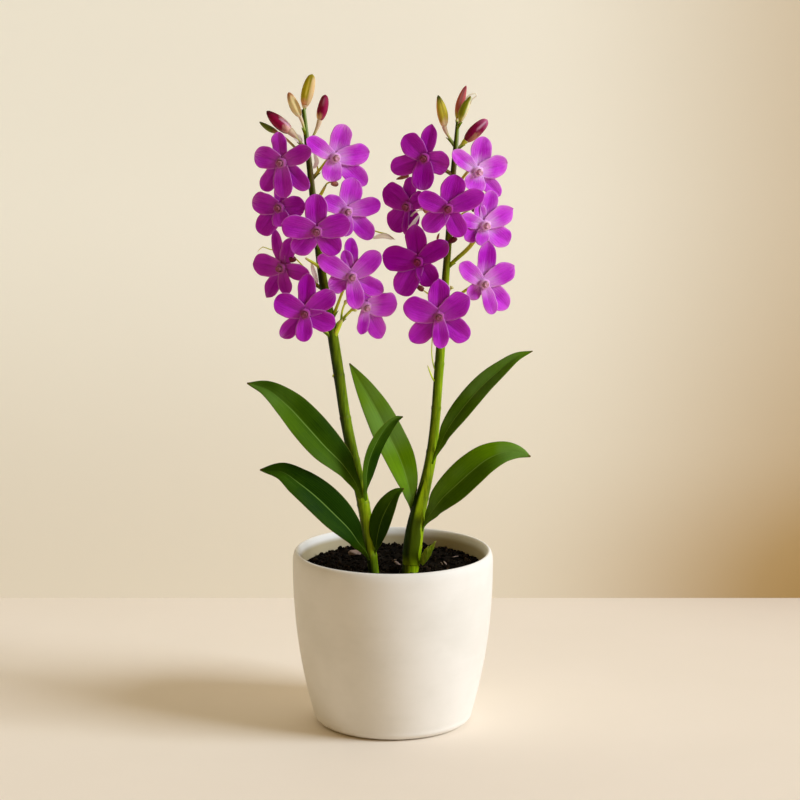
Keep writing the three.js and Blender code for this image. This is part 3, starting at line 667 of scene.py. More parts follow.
def turned_at_random(count, rng):
    """A random turn for each crumb, as matrices built on random quaternions."""
    w, x, y, z = unit(rng.normal(size=(count, 4))).T
    rows = [
        [1 - 2 * (y * y + z * z), 2 * (x * y - z * w), 2 * (x * z + y * w)],
        [2 * (x * y + z * w), 1 - 2 * (x * x + z * z), 2 * (y * z - x * w)],
        [2 * (x * z - y * w), 2 * (y * z + x * w), 1 - 2 * (x * x + y * y)],
    ]
    return np.array(rows).transpose(2, 0, 1)


def crumbs(centres, sizes, rng, dents=0.45, **values):
    """One skin of many dented balls: centre + turn · (ball · size · random dents)."""
    points, faces = ball()
    count = len(centres)
    dented = points * (1 + rng.uniform(-dents, dents, (count, len(points), 1)))
    shaped = np.einsum("nij,nkj->nki", turned_at_random(count, rng), dented * sizes[:, None])
    placed = centres[:, None] + shaped
    fans = (faces + len(points) * np.arange(count)[:, None, None]).reshape(-1, 3)
    values = {k: np.repeat(np.broadcast_to(v, count), len(points)) for k, v in values.items()}
    none = np.zeros((0, 4), int)
    return {"points": placed.reshape(-1, 3), "quads": none, "fans": fans, "values": values}


CRUMB_CLEAR = 2.2  # how far the crumbs stay off the wall
# How many, between which radii, the smallest and largest size, how high they lie, and the seed.
CRUMBS = [
    (1700, 0, 51, 0.35, 1.4, 0.2, 21), (420, 46, 53, 0.5, 1.7, 0.3, 22),
        (90, 4, 47, 1.2, 2.5, 0.1, 23),
]


def scattered_crumbs(count, inner, outer, small, large, lift, seed):
    """Crumbs spread evenly over the ring from radius inner to outer, most of them small."""
    rng = np.random.default_rng(seed)
    r = np.sqrt(rng.uniform(inner**2, outer**2, count))
    turn = rng.uniform(0, FULL_TURN, count)
    x, y = r * np.cos(turn), r * np.sin(turn)
    size = small + (large - small) * rng.uniform(0, 1, count) ** 3
    axes = size[:, None] * rng.uniform(0.65, 1.25, (count, 3))
    clear = INNER_RADIUS - CRUMB_CLEAR - size
    x, y = (np.where(r > clear, v * clear / r, v) for v in (x, y))
    z = ground_height(x, y) + lift * size
    return crumbs(np.stack([x, y, z], -1), axes, rng, tone=rng.uniform(0, 1, count) ** 1.5)


# %% The mix's finish and the mix


def mix_finish():
    """Near black and brown by the crumb, damp in places, rough all over."""
    f = Finish("dark_potting_mix")
    grain = f.noise(900, 5)
    tone = f.number("tone") * f.fade(grain, 0.3, 0.7, 0.4, 1.3)
    colour = f.coats(
        f.blend(f.fade(tone, 0.1, 0.75), (8, 5, 2), (32, 22, 12)),
        (f.fade(tone, 0.92, 1.2), (92, 68, 50)),
    )
    normal = f.bump(grain, 0.35, f.bump(f.noise(4200, 2), 0.05))
    return f.surface(colour, f.fade(grain, 0.35, 0.7, 0.8, 0.95), normal, specular=0.05)


heap = [ground_skin(), *(scattered_crumbs(*entry) for entry in CRUMBS)]
ground = piece("potting_mix_crumbly", heap, mix_finish(), ["potting_mix"])
print("potting mix:", len(ground.data.polygons), "faces")

# %% [markdown]
# ## Bark
#
# One pinkish-brown chip of bark lies on the mix, with a few pale splinters behind the canes. The
# chip is a rounded slab dented by waves; the splinters are the crumbs' ball again, drawn out thin.

# %% Bark chip and splinters

CHIP_AT, CHIP_SIZE, CHIP_SEAT = (-23, 19.5), (8, 5.5, 3), 1.2
SPLINTERS_AT = [(29.6, 3), (31.5, 1.2), (1.4, 3), (2.6, -2), (38, 17)]


def chip_skin():
    """A flattened ball: rings by latitude, pushed towards a slab and dented by waves."""
    half_length, half_width, half_height = (size / 2 for size in CHIP_SIZE)
    rise, turn = np.radians(np.linspace(-84, 84, 17))[:, None], turns(28)
    flat = np.cos(rise) ** 0.55
    dent = 1 + 0.07 * np.sin(3 * turn + 4 * rise) + 0.05 * np.sin(7 * turn + 1)
    x = CHIP_AT[0] + half_length * flat * dent * np.cos(turn)
    y = CHIP_AT[1] + half_width * flat * dent * np.sin(turn)
    tall = np.sign(np.sin(rise)) * np.abs(np.sin(rise)) ** 0.8
    middle = SOIL_LEVEL + CHIP_SEAT + half_height
    z = middle + half_height * tall * (1 + 0.12 * np.sin(2 * turn + 0.5))
    return skin(np.stack(np.broadcast_arrays(x, y, z), -1), tone=0.66)


def splinters():
    """Long thin flakes that lie flat on the mix."""
    rng = np.random.default_rng(31)
    x, y = np.array(SPLINTERS_AT).T
    count = len(x)
    centres = np.stack([x, y, ground_height(x, y) + 1.1], -1)
    length, width = rng.uniform(1.6, 3.4, count), rng.uniform(0.5, 0.9, count)
    sizes = np.stack([length, width, np.full(count, 0.3)], -1)
    return crumbs(centres, sizes, rng, dents=0.2, tone=rng.uniform(0.55, 1, count))


def bark_finish():
    """Fibres from dark brown to pale pinkish brown, paler where the skin's tone is higher."""
    f = Finish("pinkish_bark")
    fibre = f.noise(500, 4, (1, 3, 1))
    colour = f.blend(fibre * f.number("tone"), (92, 66, 52), (202, 176, 158))
    return f.surface(colour, 0.85, f.bump(fibre, 0.3), specular=0.25)


bark = bark_finish()
piece("bark_chip_worn", [chip_skin()], bark, ["bark_chip"])
piece("bark_splinters", [splinters()], bark)

# %% [markdown]
# ## The canes
#
# A dendrobium cane is a jointed stem, a little swollen and ringed at each joint, with fine furrows
# between them. Under the blooms it carries on as the thinner flower stem. It could be a plain tube
# with a bump map, but the joints show against the wall, so they are in the shape: a ring of points
# every 0.8 mm, with a radius that depends on the height and on the angle round the stem.

# %% The canes' lines

CANES = {
    "left": {
        "axis": [
            (-9.8, -19.7, 84), (-11.3, -19, 97), (-13.8, -17.8, 114), (-17, -16.5, 135),
            (-21, -15.2, 154), (-24.8, -14.1, 172), (-28.2, -12.9, 190), (-31.8, -11.3, 215),
            (-37, -9.1, 248.5), (-41, -7.7, 271), (-44.3, -5.9, 298), (-47.3, -4.1, 326),
            (-49.5, -2.8, 347), (-51.6, -1.4, 368.5),
        ],
        "heights": [84, 100, 121, 154, 172, 190, 231, 250, 300, 345, 368],
        "diameters": [6, 6.2, 7.2, 7.2, 6.8, 6.4, 6.3, 5.7, 4.3, 3.3, 2.6],
        "joints": [106, 137, 163, 188, 213, 238],
        "ripe": (
            [84, 103, 111, 140, 153, 175, 200, 250, 368],
            [0.1, 0.2, 1.0, 1.25, 0.5, 0.2, 0.3, 0.2, 0.2],
        ),
    },
    "right": {
        "axis": [
            (9.2, -19.7, 84), (10.5, -18.8, 98.5), (12.3, -17.8, 115), (15.8, -16.5, 134.5),
            (19.9, -15.4, 151.5), (22.9, -14.4, 167), (25, -13.1, 187), (26.8, -11.5, 212),
            (29.3, -9.3, 247), (31, -7.7, 271.5), (32.6, -6.3, 292.5), (34, -5, 312.7),
            (35.4, -3.7, 333), (36.8, -2.7, 348.5), (37.9, -1.8, 361.5),
        ],
        "heights": [84, 98, 116, 134, 152, 167, 187, 225, 246, 275, 334, 361],
        "diameters": [9, 9.8, 10.8, 8.6, 7, 6.4, 5.6, 5.5, 5.1, 4.3, 3.3, 2.3],
        "joints": [112, 141, 168, 194, 220, 244],
        "ripe": ([84, 120, 150, 200, 240, 300, 361], [0.8, 0.9, 0.85, 0.7, 0.6, 0.4, 0.35]),
    },
}
for cane in CANES.values():
    cane["line"] = line_through(cane["axis"], 1200)


def cane_point(cane, z):
    """The point of a cane's axis at a height."""
    line = cane["line"]
    return np.stack([np.interp(z, line[:, 2], line[:, k]) for k in range(3)], -1)


def cane_radius(cane, z):
    """Half the diameter that the table gives at a height."""
    return level_curve(cane["heights"], cane["diameters"], z) / 2


# %% The canes' shape

CANE_STEP = 0.8
CANE_SIDES = 36
JOINT_SWELL, JOINT_LENGTH = 0.2, 1.3
SHEATH_LIFT, SHEATH_LENGTH = 0.06, 11
GROOVE_DEPTH, GROOVE_ABOVE, GROOVE_LENGTH = 0.08, 1.5, 0.7
SCAR_ABOVE, SCAR_LENGTH = 0.6, 0.55


def cane_skin(cane):
    """Radius = (table + a hump and the old sheath's end at each joint − its groove) · furrows."""
    z = np.arange(cane["axis"][0][2], cane["axis"][-1][2], CANE_STEP)
    radius = cane_radius(cane, z)
    scar = np.zeros_like(z)
    for joint in cane["joints"]:
        radius = radius + JOINT_SWELL * hump(z, joint, JOINT_LENGTH)
        below = np.clip((joint - z) / SHEATH_LENGTH, 0, 1)
        radius = radius + SHEATH_LIFT * (1 - below) * (z < joint)
        radius = radius - GROOVE_DEPTH * hump(z, joint + GROOVE_ABOVE, GROOVE_LENGTH)
        scar = scar + hump(z, joint + SCAR_ABOVE, SCAR_LENGTH)
    turn = turns(CANE_SIDES)
    furrow = 0.014 * np.cos(9 * turn + 0.03 * z[:, None]) + 0.012 * np.cos(5 * turn + 1)
    rings = radius[:, None] * (1 + furrow)
    grid = tube_grid(cane_point(cane, z), rings, CANE_SIDES, np.array([1.0, 0, 0]))
    ripe = np.interp(z, *cane["ripe"])
    # 1 on the side towards the lamp, −1 away from it: the finish paints light and shade by it
    sun = np.cos(turn)[None]
    return skin(grid, ripe=ripe[:, None], scar=np.clip(scar, 0, 1)[:, None], along=0.0, sun=sun)


# %% [markdown]
# ## Stalks and bracts
#
# Each bloom and each bud hangs on a thin stalk. It leaves the stem on the way to the flower, sweeps
# round and comes in from behind the flower's face, so it is one cubic between four points. Where it
# leaves the stem, a small pointed bract sits under it. Stalks are green at the stem, lime further
# out and pinkish white at the bloom.

# %% Bloom and bud tables

# Bloom: cane, height where its stalk leaves, centre of its face, turned right and up by how many
# degrees, tone from dark magenta 0 to light lilac 1, higher on the blooms that turn towards the
# lamp
# as partly painted light, and its lobes: (angle, reach, width, curl) as seen from the front, with
# one more number where the tip is sharp.
BLOOMS = {
    "L1": ("left", 322, (-64.3, -15.3, 338.2), -15, 0, 0.42, [
        (98, 17.8, 8.6, -1), (163, 16.4, 12.8, 0), (25, 19.5, 10.2, 1), (235, 20, 9.9, 0),
        (276, 20.3, 10.8, 1), (-44, 21.4, 10, 0)]),
    "L2": ("left", 327, (-33, -11, 340.7), 18, 0, 0.8, [
        (72, 20, 12, 0), (145, 20, 9.4, 1), (7, 20.2, 12.2, 0), (-41, 24.4, 10.8, 1),
        (255, 14.2, 11.6, 0)]),
    "L3": ("left", 297, (-66, -8.5, 311.4), -18, 0, 0.32, [
        (167, 16.6, 12.6, 0), (7, 15.4, 12, 0), (231, 20, 12.2, 0), (-80, 11, 10.4, 0),
        (88, 14.5, 8, -3)]),
    "L4": ("left", 287, (-43.3, -29.8, 300.1), -4, 0, 0.36, [
        (93, 21.5, 12.8, -1), (168, 20.9, 13.4, 0), (17, 19.7, 13.4, 0), (222, 18.6, 12.4, 0),
        (-44, 17.6, 12.8, 0)]),
    "L5": ("left", 293, (-26.2, -13.1, 309.8), 18, 0, 0.72, [
        (76, 19.7, 12.8, -2), (149, 15.4, 10.2, 0), (11, 20, 10.6, 0), (-46, 22.2, 10.6, 0),
        (266, 14.6, 8.1, 0)]),
    "L6": ("left", 263, (-65, -11.3, 276.3), -28, 0, 0.36, [
        (104, 23.2, 6.8, -2, 1), (72, 18.8, 8.6, 0), (173, 17.4, 13, 0), (-9, 16.6, 9.4, 0),
        (241, 20.8, 8.4, 0, 1), (-74, 15.4, 7.8, 1)]),
    "L7": ("left", 244, (-23.5, -22.6, 272.9), 10, 0, 0.6, [
        (90, 22.6, 8, -1), (105, 16.2, 7, 1), (148, 23, 11, 0), (39, 21.4, 11.8, 0),
        (-28, 20.8, 10.6, 0), (-81, 19, 10.2, 0), (205, 14.4, 11, 0)]),
    "L8": ("left", 234, (-50.6, -27.9, 252.1), -4, 0, 0.26, [
        (86, 23.2, 10.2, -1), (37, 21.4, 11.8, 0), (-22, 18.6, 12, 0), (267, 16.2, 9.6, 1),
        (225, 20, 9.6, 0), (155, 19.4, 13.4, 0)]),
    "L9": ("left", 240, (-15.5, -12.8, 253.9), 22, -8, 0.74, [
        (3, 18.6, 14.2, 0), (-63, 22.4, 10.8, 0), (260, 16.8, 7, 0), (85, 9, 6, -2),
        (165, 8, 6.5, -2)]),
    "R1": ("right", 330, (18.2, -15.1, 340.8), -10, 0, 0.22, [
        (78, 20.2, 8.9, 0, 1), (133, 17.4, 12.8, 0), (200, 20.8, 11.4, 0), (267, 18.4, 12.4, 1),
        (-16, 14.8, 13.2, 0)]),
    "R2": ("right", 320, (49.4, -11.7, 332.9), 24, -6, 0.95, [
        (78, 20.4, 12, 0), (12, 18.2, 12.6, 0), (140, 19.4, 8.9, 1), (-48, 21, 8.9, 0),
        (-108, 11.8, 12.6, 1)]),
    "R3": ("right", 302, (8.4, -8, 311.9), -26, 0, 0.24, [
        (142, 17.2, 13.6, 0), (86, 17.4, 8, -1), (35, 12.6, 9, 0), (234, 17.4, 12.8, 0),
        (265, 16.2, 3.6, 0), (-67, 12.2, 7.6, 1)]),
    "R4": ("right", 299, (31.8, -29, 313.1), 0, 0, 0.22, [
        (76, 20, 13.6, -1), (23, 22.6, 11, 0), (157, 18.6, 11, 0), (222, 18.6, 12, 0),
        (-63, 18.2, 11.4, 0)]),
    "R5": ("right", 275, (53.9, -17, 302.2), 22, 0, 0.9, [
        (77, 20.4, 9.6, -1), (108, 13.3, 7, 0), (28, 18.8, 11.6, 0, 1), (-38, 18.6, 12, 0),
        (161, 15.6, 8.4, 0), (214, 13.8, 9.4, 0), (252, 12, 8, 1)]),
    "R6": ("right", 262, (14.7, -20, 281.3), -12, 0, 0.08, [
        (97, 21.8, 12, -1, 1), (34, 20.6, 11.2, 0), (-56, 16.2, 12.6, 0), (239, 22.6, 14, 0),
        (173, 21, 14.8, 0)]),
    "R7": ("right", 254, (53, -27.7, 269.6), 18, 0, 0.8, [
        (82, 24.9, 10.6, -1, 1), (139, 18.6, 9.8, 0), (28, 20.4, 12.4, 0, 1), (-46, 21, 12, 0),
        (221, 12, 8.8, 0), (-74, 18.4, 8, 1)]),
    "R8": ("right", 233, (26.7, -35.9, 251.6), 0, 0, 0.36, [
        (90, 22, 12.3, -1, 1), (33, 21, 14, 0, 1), (-36, 21.6, 12.8, 0), (-85, 18.2, 9.4, 1),
        (222, 21.8, 12.4, 0), (161, 21.6, 14, 0)]),
}

# A bud's half width at shares of its length, when its ends are pointed and when they are blunt.
BUD_SHARES, BUD_WIDEST = [0, 0.14, 0.38, 0.62, 0.84, 1], 0.38
BUD_POINTED = np.array([0.34, 0.74, 1, 0.86, 0.5, 0.14])
BUD_BLUNT = np.array([0.7, 0.92, 1, 0.98, 0.82, 0.36])

# Bud: cane, height where its stalk leaves, base, tip, thickness, how blunt its foot and its head
# are, colour, and how far it bends.
BUDS = {
    "L1": ("left", 366, (-50.8, -1.3, 370.4), (-46.4, -0.1, 388.1), 7.2, 0.6, 0.7, "green", 0.2),
    "L2": ("left", 352, (-53.6, -4.5, 364.1), (-60.1, -3.5, 377.9), 5.8, 0.1, 0.5, "peach", 0.4),
    "L3": ("left", 344, (-59.9, -2.2, 355.8), (-73, -1.5, 367), 7.4, 0.9, 0.2, "purple", 0.5),
    "L4": ("left", 338, (-66.9, 2, 354.3), (-77.5, 3, 360.4), 3.5, 0.2, 0.2, "green", 0.5),
    "L5": ("left", 346, (-42.2, -1.9, 362), (-39, -0.9, 376.4), 6.1, 0.5, 0.7, "purple", -0.4),
    "R1": ("right", 346, (29.9, -2, 358.3), (26.3, -0.9, 376.1), 6.2, 0.4, 0.1, "green", -0.3),
    "R2": ("right", 359, (37.6, 0.7, 362.5), (42.7, 2, 381.4), 5, 0.1, 0.2, "purple", 0.6),
    "R3": ("right", 357, (39.2, -4.8, 361.2), (45.2, -5.7, 375.9), 5.2, 0.1, 0.2, "green", 0.5),
    "R4": ("right", 344, (42.6, -2.6, 350), (55, -1.8, 361.9), 7.4, 0.4, 0.8, "purple", 0.3),
}


# A bloom's stalk that hangs before it turns up: by how much, and how thick it is.
STALKS = {"R5": (16, 1.25)}
# How pale the funnel under a bud is, where it isn't 1.
FUNNEL_PALE = {"R4": 0.2}


# %% Stalks

GAP = 0.05
STALK_HANDLE = 6
STALK_POINTS, STALK_SIDES = 26, 12
THROAT_BACK = -7


def any_square_to(v):
    """Some direction square to v."""
    return unit(np.cross(v, [0, 0, 1] if abs(unit(v)[2]) < 0.9 else [1, 0, 0]))


def stalk_line(cane, height, end, direction, sag=0):
    """A cubic from the cane's axis to `end`, which it meets along `direction` unless it sags."""
    start = cane_point(cane, height)
    span = end - start
    handle = min(STALK_HANDLE, np.linalg.norm(span) / 3)
    leave, reach = start + 0.35 * span, end - direction * handle - np.array([0, 0, sag])
    t = np.linspace(0, 1, STALK_POINTS)[:, None]
    middle = 3 * t * (1 - t) ** 2 * leave + 3 * t * t * (1 - t) * reach
    return (1 - t) ** 3 * start + middle + t**3 * end


def stalk_skin(line, foot, waist, head, fade=1.0, pale=0.0, widens=0.6):
    """A tube that is `foot` thick at the stem, `waist` in the middle and `head` at the flower."""
    share = np.linspace(0, 1, len(line))
    radius = mix(mix(foot, waist, smooth(0, 0.45, share)), head, smooth(widens, 1, share))
    span = unit(line[-1] - line[0])
    bend = np.cross(span, unit(line[-1] - line[-2]))
    reference = unit(bend) if np.linalg.norm(bend) > 0.05 else any_square_to(span)
    grid = tube_grid(line, radius, STALK_SIDES, reference)
    along, pale = fade * share[:, None], pale * share[:, None]
    # a middling lit side, so the cane finish's painted light and shade stay even round the stalk
    return skin(grid, along=along, pale=pale, ripe=0.8, scar=0.0, sun=0.5)


def bract_skin(line, cane, height, rng):
    """A pointed scale that hugs the stalk's underside where it leaves the stem."""
    length, half = rng.uniform(4.5, 7), rng.uniform(1.1, 1.5)
    run = running(line)
    away = np.interp(cane_radius(cane, height) * 0.8, run, np.linspace(0, 1, len(line)))
    u = np.linspace(0, 1, 14)
    spine = read(line, away + u * length / run[-1])
    way = unit(np.gradient(spine, axis=0))
    down = unit(np.array([0, 0, -1.0]) - way * way[:, 2:] * -1)
    across = np.cross(down, way)
    width = half * (0.55 + 0.45 * np.sin(np.pi * np.minimum(u * 1.6, 1) / 2)) * (1 - u**3) + 0.05
    place, _ = lens(8)
    lift = 1.05 + 0.6 * u[:, None] ** 2 - 0.8 * width[:, None] * place**2
    grid = blade_grid(spine, across, down, width, lift, 0.35, 8)
    return skin(grid, along=0.0, ripe=0.35 + 0.3 * u[:, None], scar=0.25 * u[:, None])


def bloom_stalk(name, entry):
    """The stalk's line from the cane to the back of the bloom's throat."""
    cane, height, centre, yaw, pitch = entry[:5]
    look = facing(yaw, pitch)
    sag, radius = STALKS.get(name, (0, 0))
    end = np.array(centre) + look * (THROAT_BACK - GAP - (radius if sag else 0))
    return stalk_line(CANES[cane], height, end, look, sag)


def bloom_stalk_skin(name, line):
    """Thin and fading to pink, but thick and green all along where it hangs free."""
    if name in STALKS:
        radius = STALKS[name][1]
        return stalk_skin(line, 0.9 * radius, radius, 1.15 * radius, fade=0.5)
    return stalk_skin(line, 1.1, 0.85, 1.05)


def bud_stalk(entry):
    """The stalk's line from the cane to the bud's foot."""
    cane, height, base, tip = entry[:4]
    way = unit(np.array(tip, float) - base)
    return stalk_line(CANES[cane], height, np.array(base) - way * GAP, way)


def bud_stalk_skin(name, line):
    """A stalk that widens into a pale funnel under the bud's foot."""
    thickness, bluntness = BUDS[name][4:6]
    head = 0.94 * (thickness / 2 * mix(BUD_POINTED[0], BUD_BLUNT[0], bluntness))
    pale = FUNNEL_PALE.get(name, 1)
    return stalk_skin(line, 0.95, 0.75, head, fade=0.4, pale=pale, widens=0.45)


# %% Small side shoots

# What is left of old or unopened flowers: cane, points of the stalk, its radius, and the radius of
# the small knob or bud on its end.
SPURS = [
    ("left", [(-45.4, -5, 316.5), (-42.3, -7, 318.4), (-40.4, -8, 321.5), (-38.9, -8, 324.3)],
        1.0, 0.0),
    ("left", [(-39.1, -8, 323.9), (-38, -9, 325.6), (-36.6, -9.6, 326.3), (-35, -10, 326)],
        0.45, 0.0),
    ("left", [(-47.8, -4, 329), (-43.6, -4, 331.5), (-44.6, -4, 338.1)], 0.55, 0.0),
    ("left", [(-40, -8, 262), (-60, -6, 284), (-71.6, -6, 286.8), (-75.9, -6, 288.2),
        (-79, -6, 285.3)], 0.4, 0.0),
    ("left", [(-41.5, -8, 275.5), (-45, -9.6, 278.6), (-48, -10.6, 280.6), (-51, -11, 282.6)],
        0.95, 0.0),
    ("left", [(-35, -9.6, 233), (-32.9, -11.6, 238.6), (-31, -12, 243), (-29.2, -12.6, 247.6)],
        1.3, 0.0),
    ("left", [(-29.9, -12.6, 246), (-29.8, -13, 249), (-28.9, -14, 253.5), (-26.6, -15, 258.6)],
        0.62, 0.75),
    ("left", [(-28.9, -12.9, 246), (-26.6, -14, 249.6), (-24.4, -15, 251.8),
        (-20.4, -16.6, 252.7)], 0.5, 0.6),
    ("left", [(-46, -5, 304), (-20, -2, 300), (-7.9, -4, 296.6), (-3, -6, 295.6),
        (1.6, -6, 292.3)], 0.5, 0.0),
    ("left", [(-31.8, -11.4, 215), (-34.6, -12.5, 213.5), (-35.3, -12.6, 212.2)], 0.6, 0.0),
    ("right", [(29.8, -9, 254), (24, -12, 259.4), (19.6, -13.6, 262.6), (17.4, -14, 264.2)],
        0.6, 0.0),
    ("right", [(30.5, -8.6, 261), (33, -9, 263), (35, -9.5, 265.6)], 0.7, 0.8),
    ("right", [(26.9, -11.6, 212), (24.3, -12.6, 218), (22.9, -12, 226), (23.4, -10, 238)],
        0.35, 0.0),
    ("right", [(26.6, -12, 208), (23.8, -13.2, 211), (20.4, -13.5, 219.5)], 0.5, 0.0),
    ("right", [(32.6, -6.4, 290), (34.6, -7, 292), (37, -8, 293.8)], 0.5, 0.0),
    ("right", [(33.8, -5.4, 303), (41, -6, 308), (46, -6.5, 310.6)], 0.5, 0.0),
]


def spur_skin(points, radius, knob):
    """A thin tube that tapers to a round end, or swells there into a knob."""
    share = np.linspace(0, 1, 24)
    line = read(line_through(points), share)
    taper = radius * mix(1.25, 0.75, share) * np.sqrt(np.clip((1.0001 - share) / 0.06, 0, 1))
    taper = np.maximum(taper, 0.06) + knob * hump(share, 0.88, 0.09)
    span = unit(line[-1] - line[0])
    grid = tube_grid(line, taper, 10, any_square_to(span))
    # a middling lit side, so the cane finish's painted light and shade stay even round the spur
    return skin(grid, along=0.75 * share[:, None], ripe=0.75, scar=0.0, sun=0.45)


# %% The canes' finish and the canes


def cane_finish():
    """Yellow-green where ripe and, as painted light, on the lit side; deep green elsewhere; brown
    at scars.
    """
    f = Finish("green_cane")
    streak, cloud = f.noise(700, 4, (1, 1, 0.07)), f.noise(60, 3)
    sun, along = f.number("sun"), f.number("along")
    # painted light: the side towards the lamp is made riper, so yellower
    ripe = f.number("ripe") + (cloud - 0.5) * 0.6 + sun * 0.4
    grain = f.fade(streak, 0.35, 0.65)
    young = f.blend(grain, (38, 58, 0), (68, 96, 2))
    mature = f.blend(grain, (112, 146, 0), (158, 184, 14))
    # painted highlight: grey-green on the lit side of the canes' upper parts
    top = f.fade(f.height(), 0.285, 0.33) * f.fade(sun, 0.1, 0.8, 0.0, 0.75)
    colour = f.coats(
        f.blend(ripe, young, mature),
        # painted shade: near black on the side away from the lamp
        (f.fade(sun + streak * 0.5, 0.2, -0.7, 0.0, 0.75), (24, 28, 2)),
        (top * f.fade(streak, 0.3, 0.6, 0.4, 1.0), (186, 200, 150)),
        (f.fade(along, 0.1, 0.35), (214, 236, 62)),
        (f.fade(along, 0.5, 0.95), (226, 190, 196)),
        (f.fade(f.number("pale"), 0.35, 0.8), (228, 204, 166)),
        (f.number("scar") * f.fade(streak, 0.3, 0.6) * 0.4, (96, 84, 40)),
    )
    normal = f.bump(streak, 0.09, f.bump(f.noise(2400, 2), 0.02))
    return f.surface(colour, f.fade(cloud, 0.3, 0.7, 0.36, 0.5), normal, specular=0.12)


green_cane = cane_finish()
rng = np.random.default_rng(41)
for side, cane in CANES.items():
    stalks = {name: bloom_stalk(name, e) for name, e in BLOOMS.items() if e[0] == side}
    buds = {name: bud_stalk(e) for name, e in BUDS.items() if e[0] == side}
    skins = [cane_skin(cane)]
    skins += [bloom_stalk_skin(name, line) for name, line in stalks.items()]
    skins += [bud_stalk_skin(name, line) for name, line in buds.items()]
    rooted = [(BLOOMS[name][1], line) for name, line in stalks.items()]
    rooted += [(BUDS[name][1], line) for name, line in buds.items()]
    skins += [bract_skin(line, cane, height, rng) for height, line in rooted]
    skins += [spur_skin(*spur) for who, *spur in SPURS if who == side]
    made = piece(f"cane_{side}_jointed", skins, green_cane, [f"cane_{side}"])
    print(made.name, len(made.data.polygons), "faces")

# %% [markdown]
# ## The leaves
#
# A dendrobium leaf is a leathery strap: its base wraps the cane, its two halves fold up a little
# from a sunken midrib, and it arches over to a point. Its ring is a flat lens, bent into a soft V,
# and carried along the midrib's line. At the base its points are drawn in to the cane, and from
# there on they are kept just off it, so that the base really clasps the cane.
#
# The finish is green and satin, with patches of painted sheen, a paler line along the midrib, fine
# veins, a thin yellow-brown edge and a touch of brown at the tip. The underside is paler.

# %% The leaves' lines

LEAF_STATIONS = [0, 0.08, 0.16, 0.27, 0.4, 0.53, 0.67, 0.82, 0.93, 1]
LEAF_WIDTHS = [0.34, 0.36, 0.44, 0.76, 0.97, 1, 0.9, 0.62, 0.3, 0.04]
CLASP_END = 0.24

# Leaf: cane, width, way its upper face looks, fold of its halves, fold of its base, tone from deep
# green 0 to yellow-green 1, how much lighter its left half is painted, as painted light and shade
# on the fold, and its midrib.
LEAVES = {
    "leaf_left_upper": ("left", 22, (0.1, -0.78, 0.6), 0.3, -0.9, 0.2, 0.1, [
        (-18.6, -21.5, 141), (-22.7, -22.5, 152), (-29.7, -23, 162.4), (-39.6, -23.5, 172.7),
        (-50.3, -23.5, 184.9), (-61.1, -22.5, 196.6), (-73.9, -20.5, 206.6), (-85.1, -18, 209.7)]),
    "leaf_left_lower": ("left", 21.5, (0.1, -0.78, 0.6), 0.3, -0.9, -0.03, 0.03, [
        (-14, -22.6, 103.8), (-18.7, -24, 112.5), (-25.1, -26, 123), (-34.4, -27.5, 133.2),
        (-44.9, -28.5, 143.8), (-54.8, -28.5, 152), (-64.7, -27, 158.4), (-77.7, -24.5, 159)]),
    "leaf_left_inner": ("left", 14, (0.75, -0.6, 0.2), 0.25, -0.5, 0.1, 0.12, [
        (-14.8, -19.8, 139.6), (-15.6, -22.5, 149.7), (-14.7, -24.5, 161.5), (-10.9, -26.5, 173.3),
        (-5, -27.5, 183.6), (0.8, -27.5, 189.6), (6, -27, 191.6)]),
    "leaf_left_low": ("left", 15, (-0.5, -0.8, 0.3), 0.22, -0.5, 0.05, 0.03, [
        (-9.9, -21.5, 106.8), (-9.3, -22.5, 116.3), (-6.6, -24, 128.3), (-2.2, -25.5, 138.3),
        (2.5, -26, 145.6), (6.6, -26, 148.4)]),
    "leaf_right_tall": ("right", 18.5, (0.2, -0.95, 0.25), 0.18, 0, 0.88, 0.12, [
        (14.5, -16.5, 127), (11.5, -17.5, 137), (9, -17, 149.5), (4, -15, 164.3),
        (-2.2, -11.5, 176.8), (-8.7, -8.5, 190), (-15.5, -6, 202.1), (-25.5, -4, 218.9)]),
    "leaf_right_upper": ("right", 13, (-0.35, -0.85, 0.35), 0.25, -0.9, 0.36, 0.04, [
        (23.1, -18.8, 161.6), (26.8, -19.4, 170.1), (31.8, -20.5, 181.7), (41.1, -22.5, 195.7),
        (53.2, -23, 209.8), (63.1, -22.5, 218.6), (72.4, -21.5, 225.8), (81.5, -20, 229.1)]),
    "leaf_right_lower": ("right", 20.5, (-0.3, -0.83, 0.45), 0.22, -0.9, 0.44, 0.14, [
        (18.6, -21.6, 121.4), (22, -24, 131.6), (28.3, -26, 141.4), (37.4, -28, 150.9),
        (46.4, -29, 159.5), (55.6, -29.5, 166.8), (65.5, -29, 170.8), (73.2, -28, 170.6),
        (80.6, -26.5, 167.6)]),
}

# %% The leaves' shape

LEAF_COLUMNS = 22
LEAF_ROWS = 110
LEAF_THICKNESS = 0.9
CLEAR_ABOVE, CLEAR_BELOW = 1.1, 0.35  # how far the two faces stay off the cane


def on_cane(grid, cane, share, free):
    """Keeps points off the cane, and draws them in to it where free is below 1.

    The least distance from the axis is the cane's radius + CLEAR_ABOVE for the upper face and
    + CLEAR_BELOW for the lower one, and a tenth of these where free is 0.
    """
    z = grid[..., 2]
    axis = cane_point(cane, z.ravel()).reshape(grid.shape)
    away = grid - axis
    away[..., 2] = 0
    distance = np.linalg.norm(away, axis=-1)
    clear = np.where(share > 0, CLEAR_ABOVE, CLEAR_BELOW) * mix(0.1, 1, free)
    least = cane_radius(cane, z.ravel()).reshape(z.shape) + clear
    wanted = mix(least, np.maximum(distance, least), free)
    return grid + away * (wanted / np.maximum(distance, 0.5) - 1)[..., None]


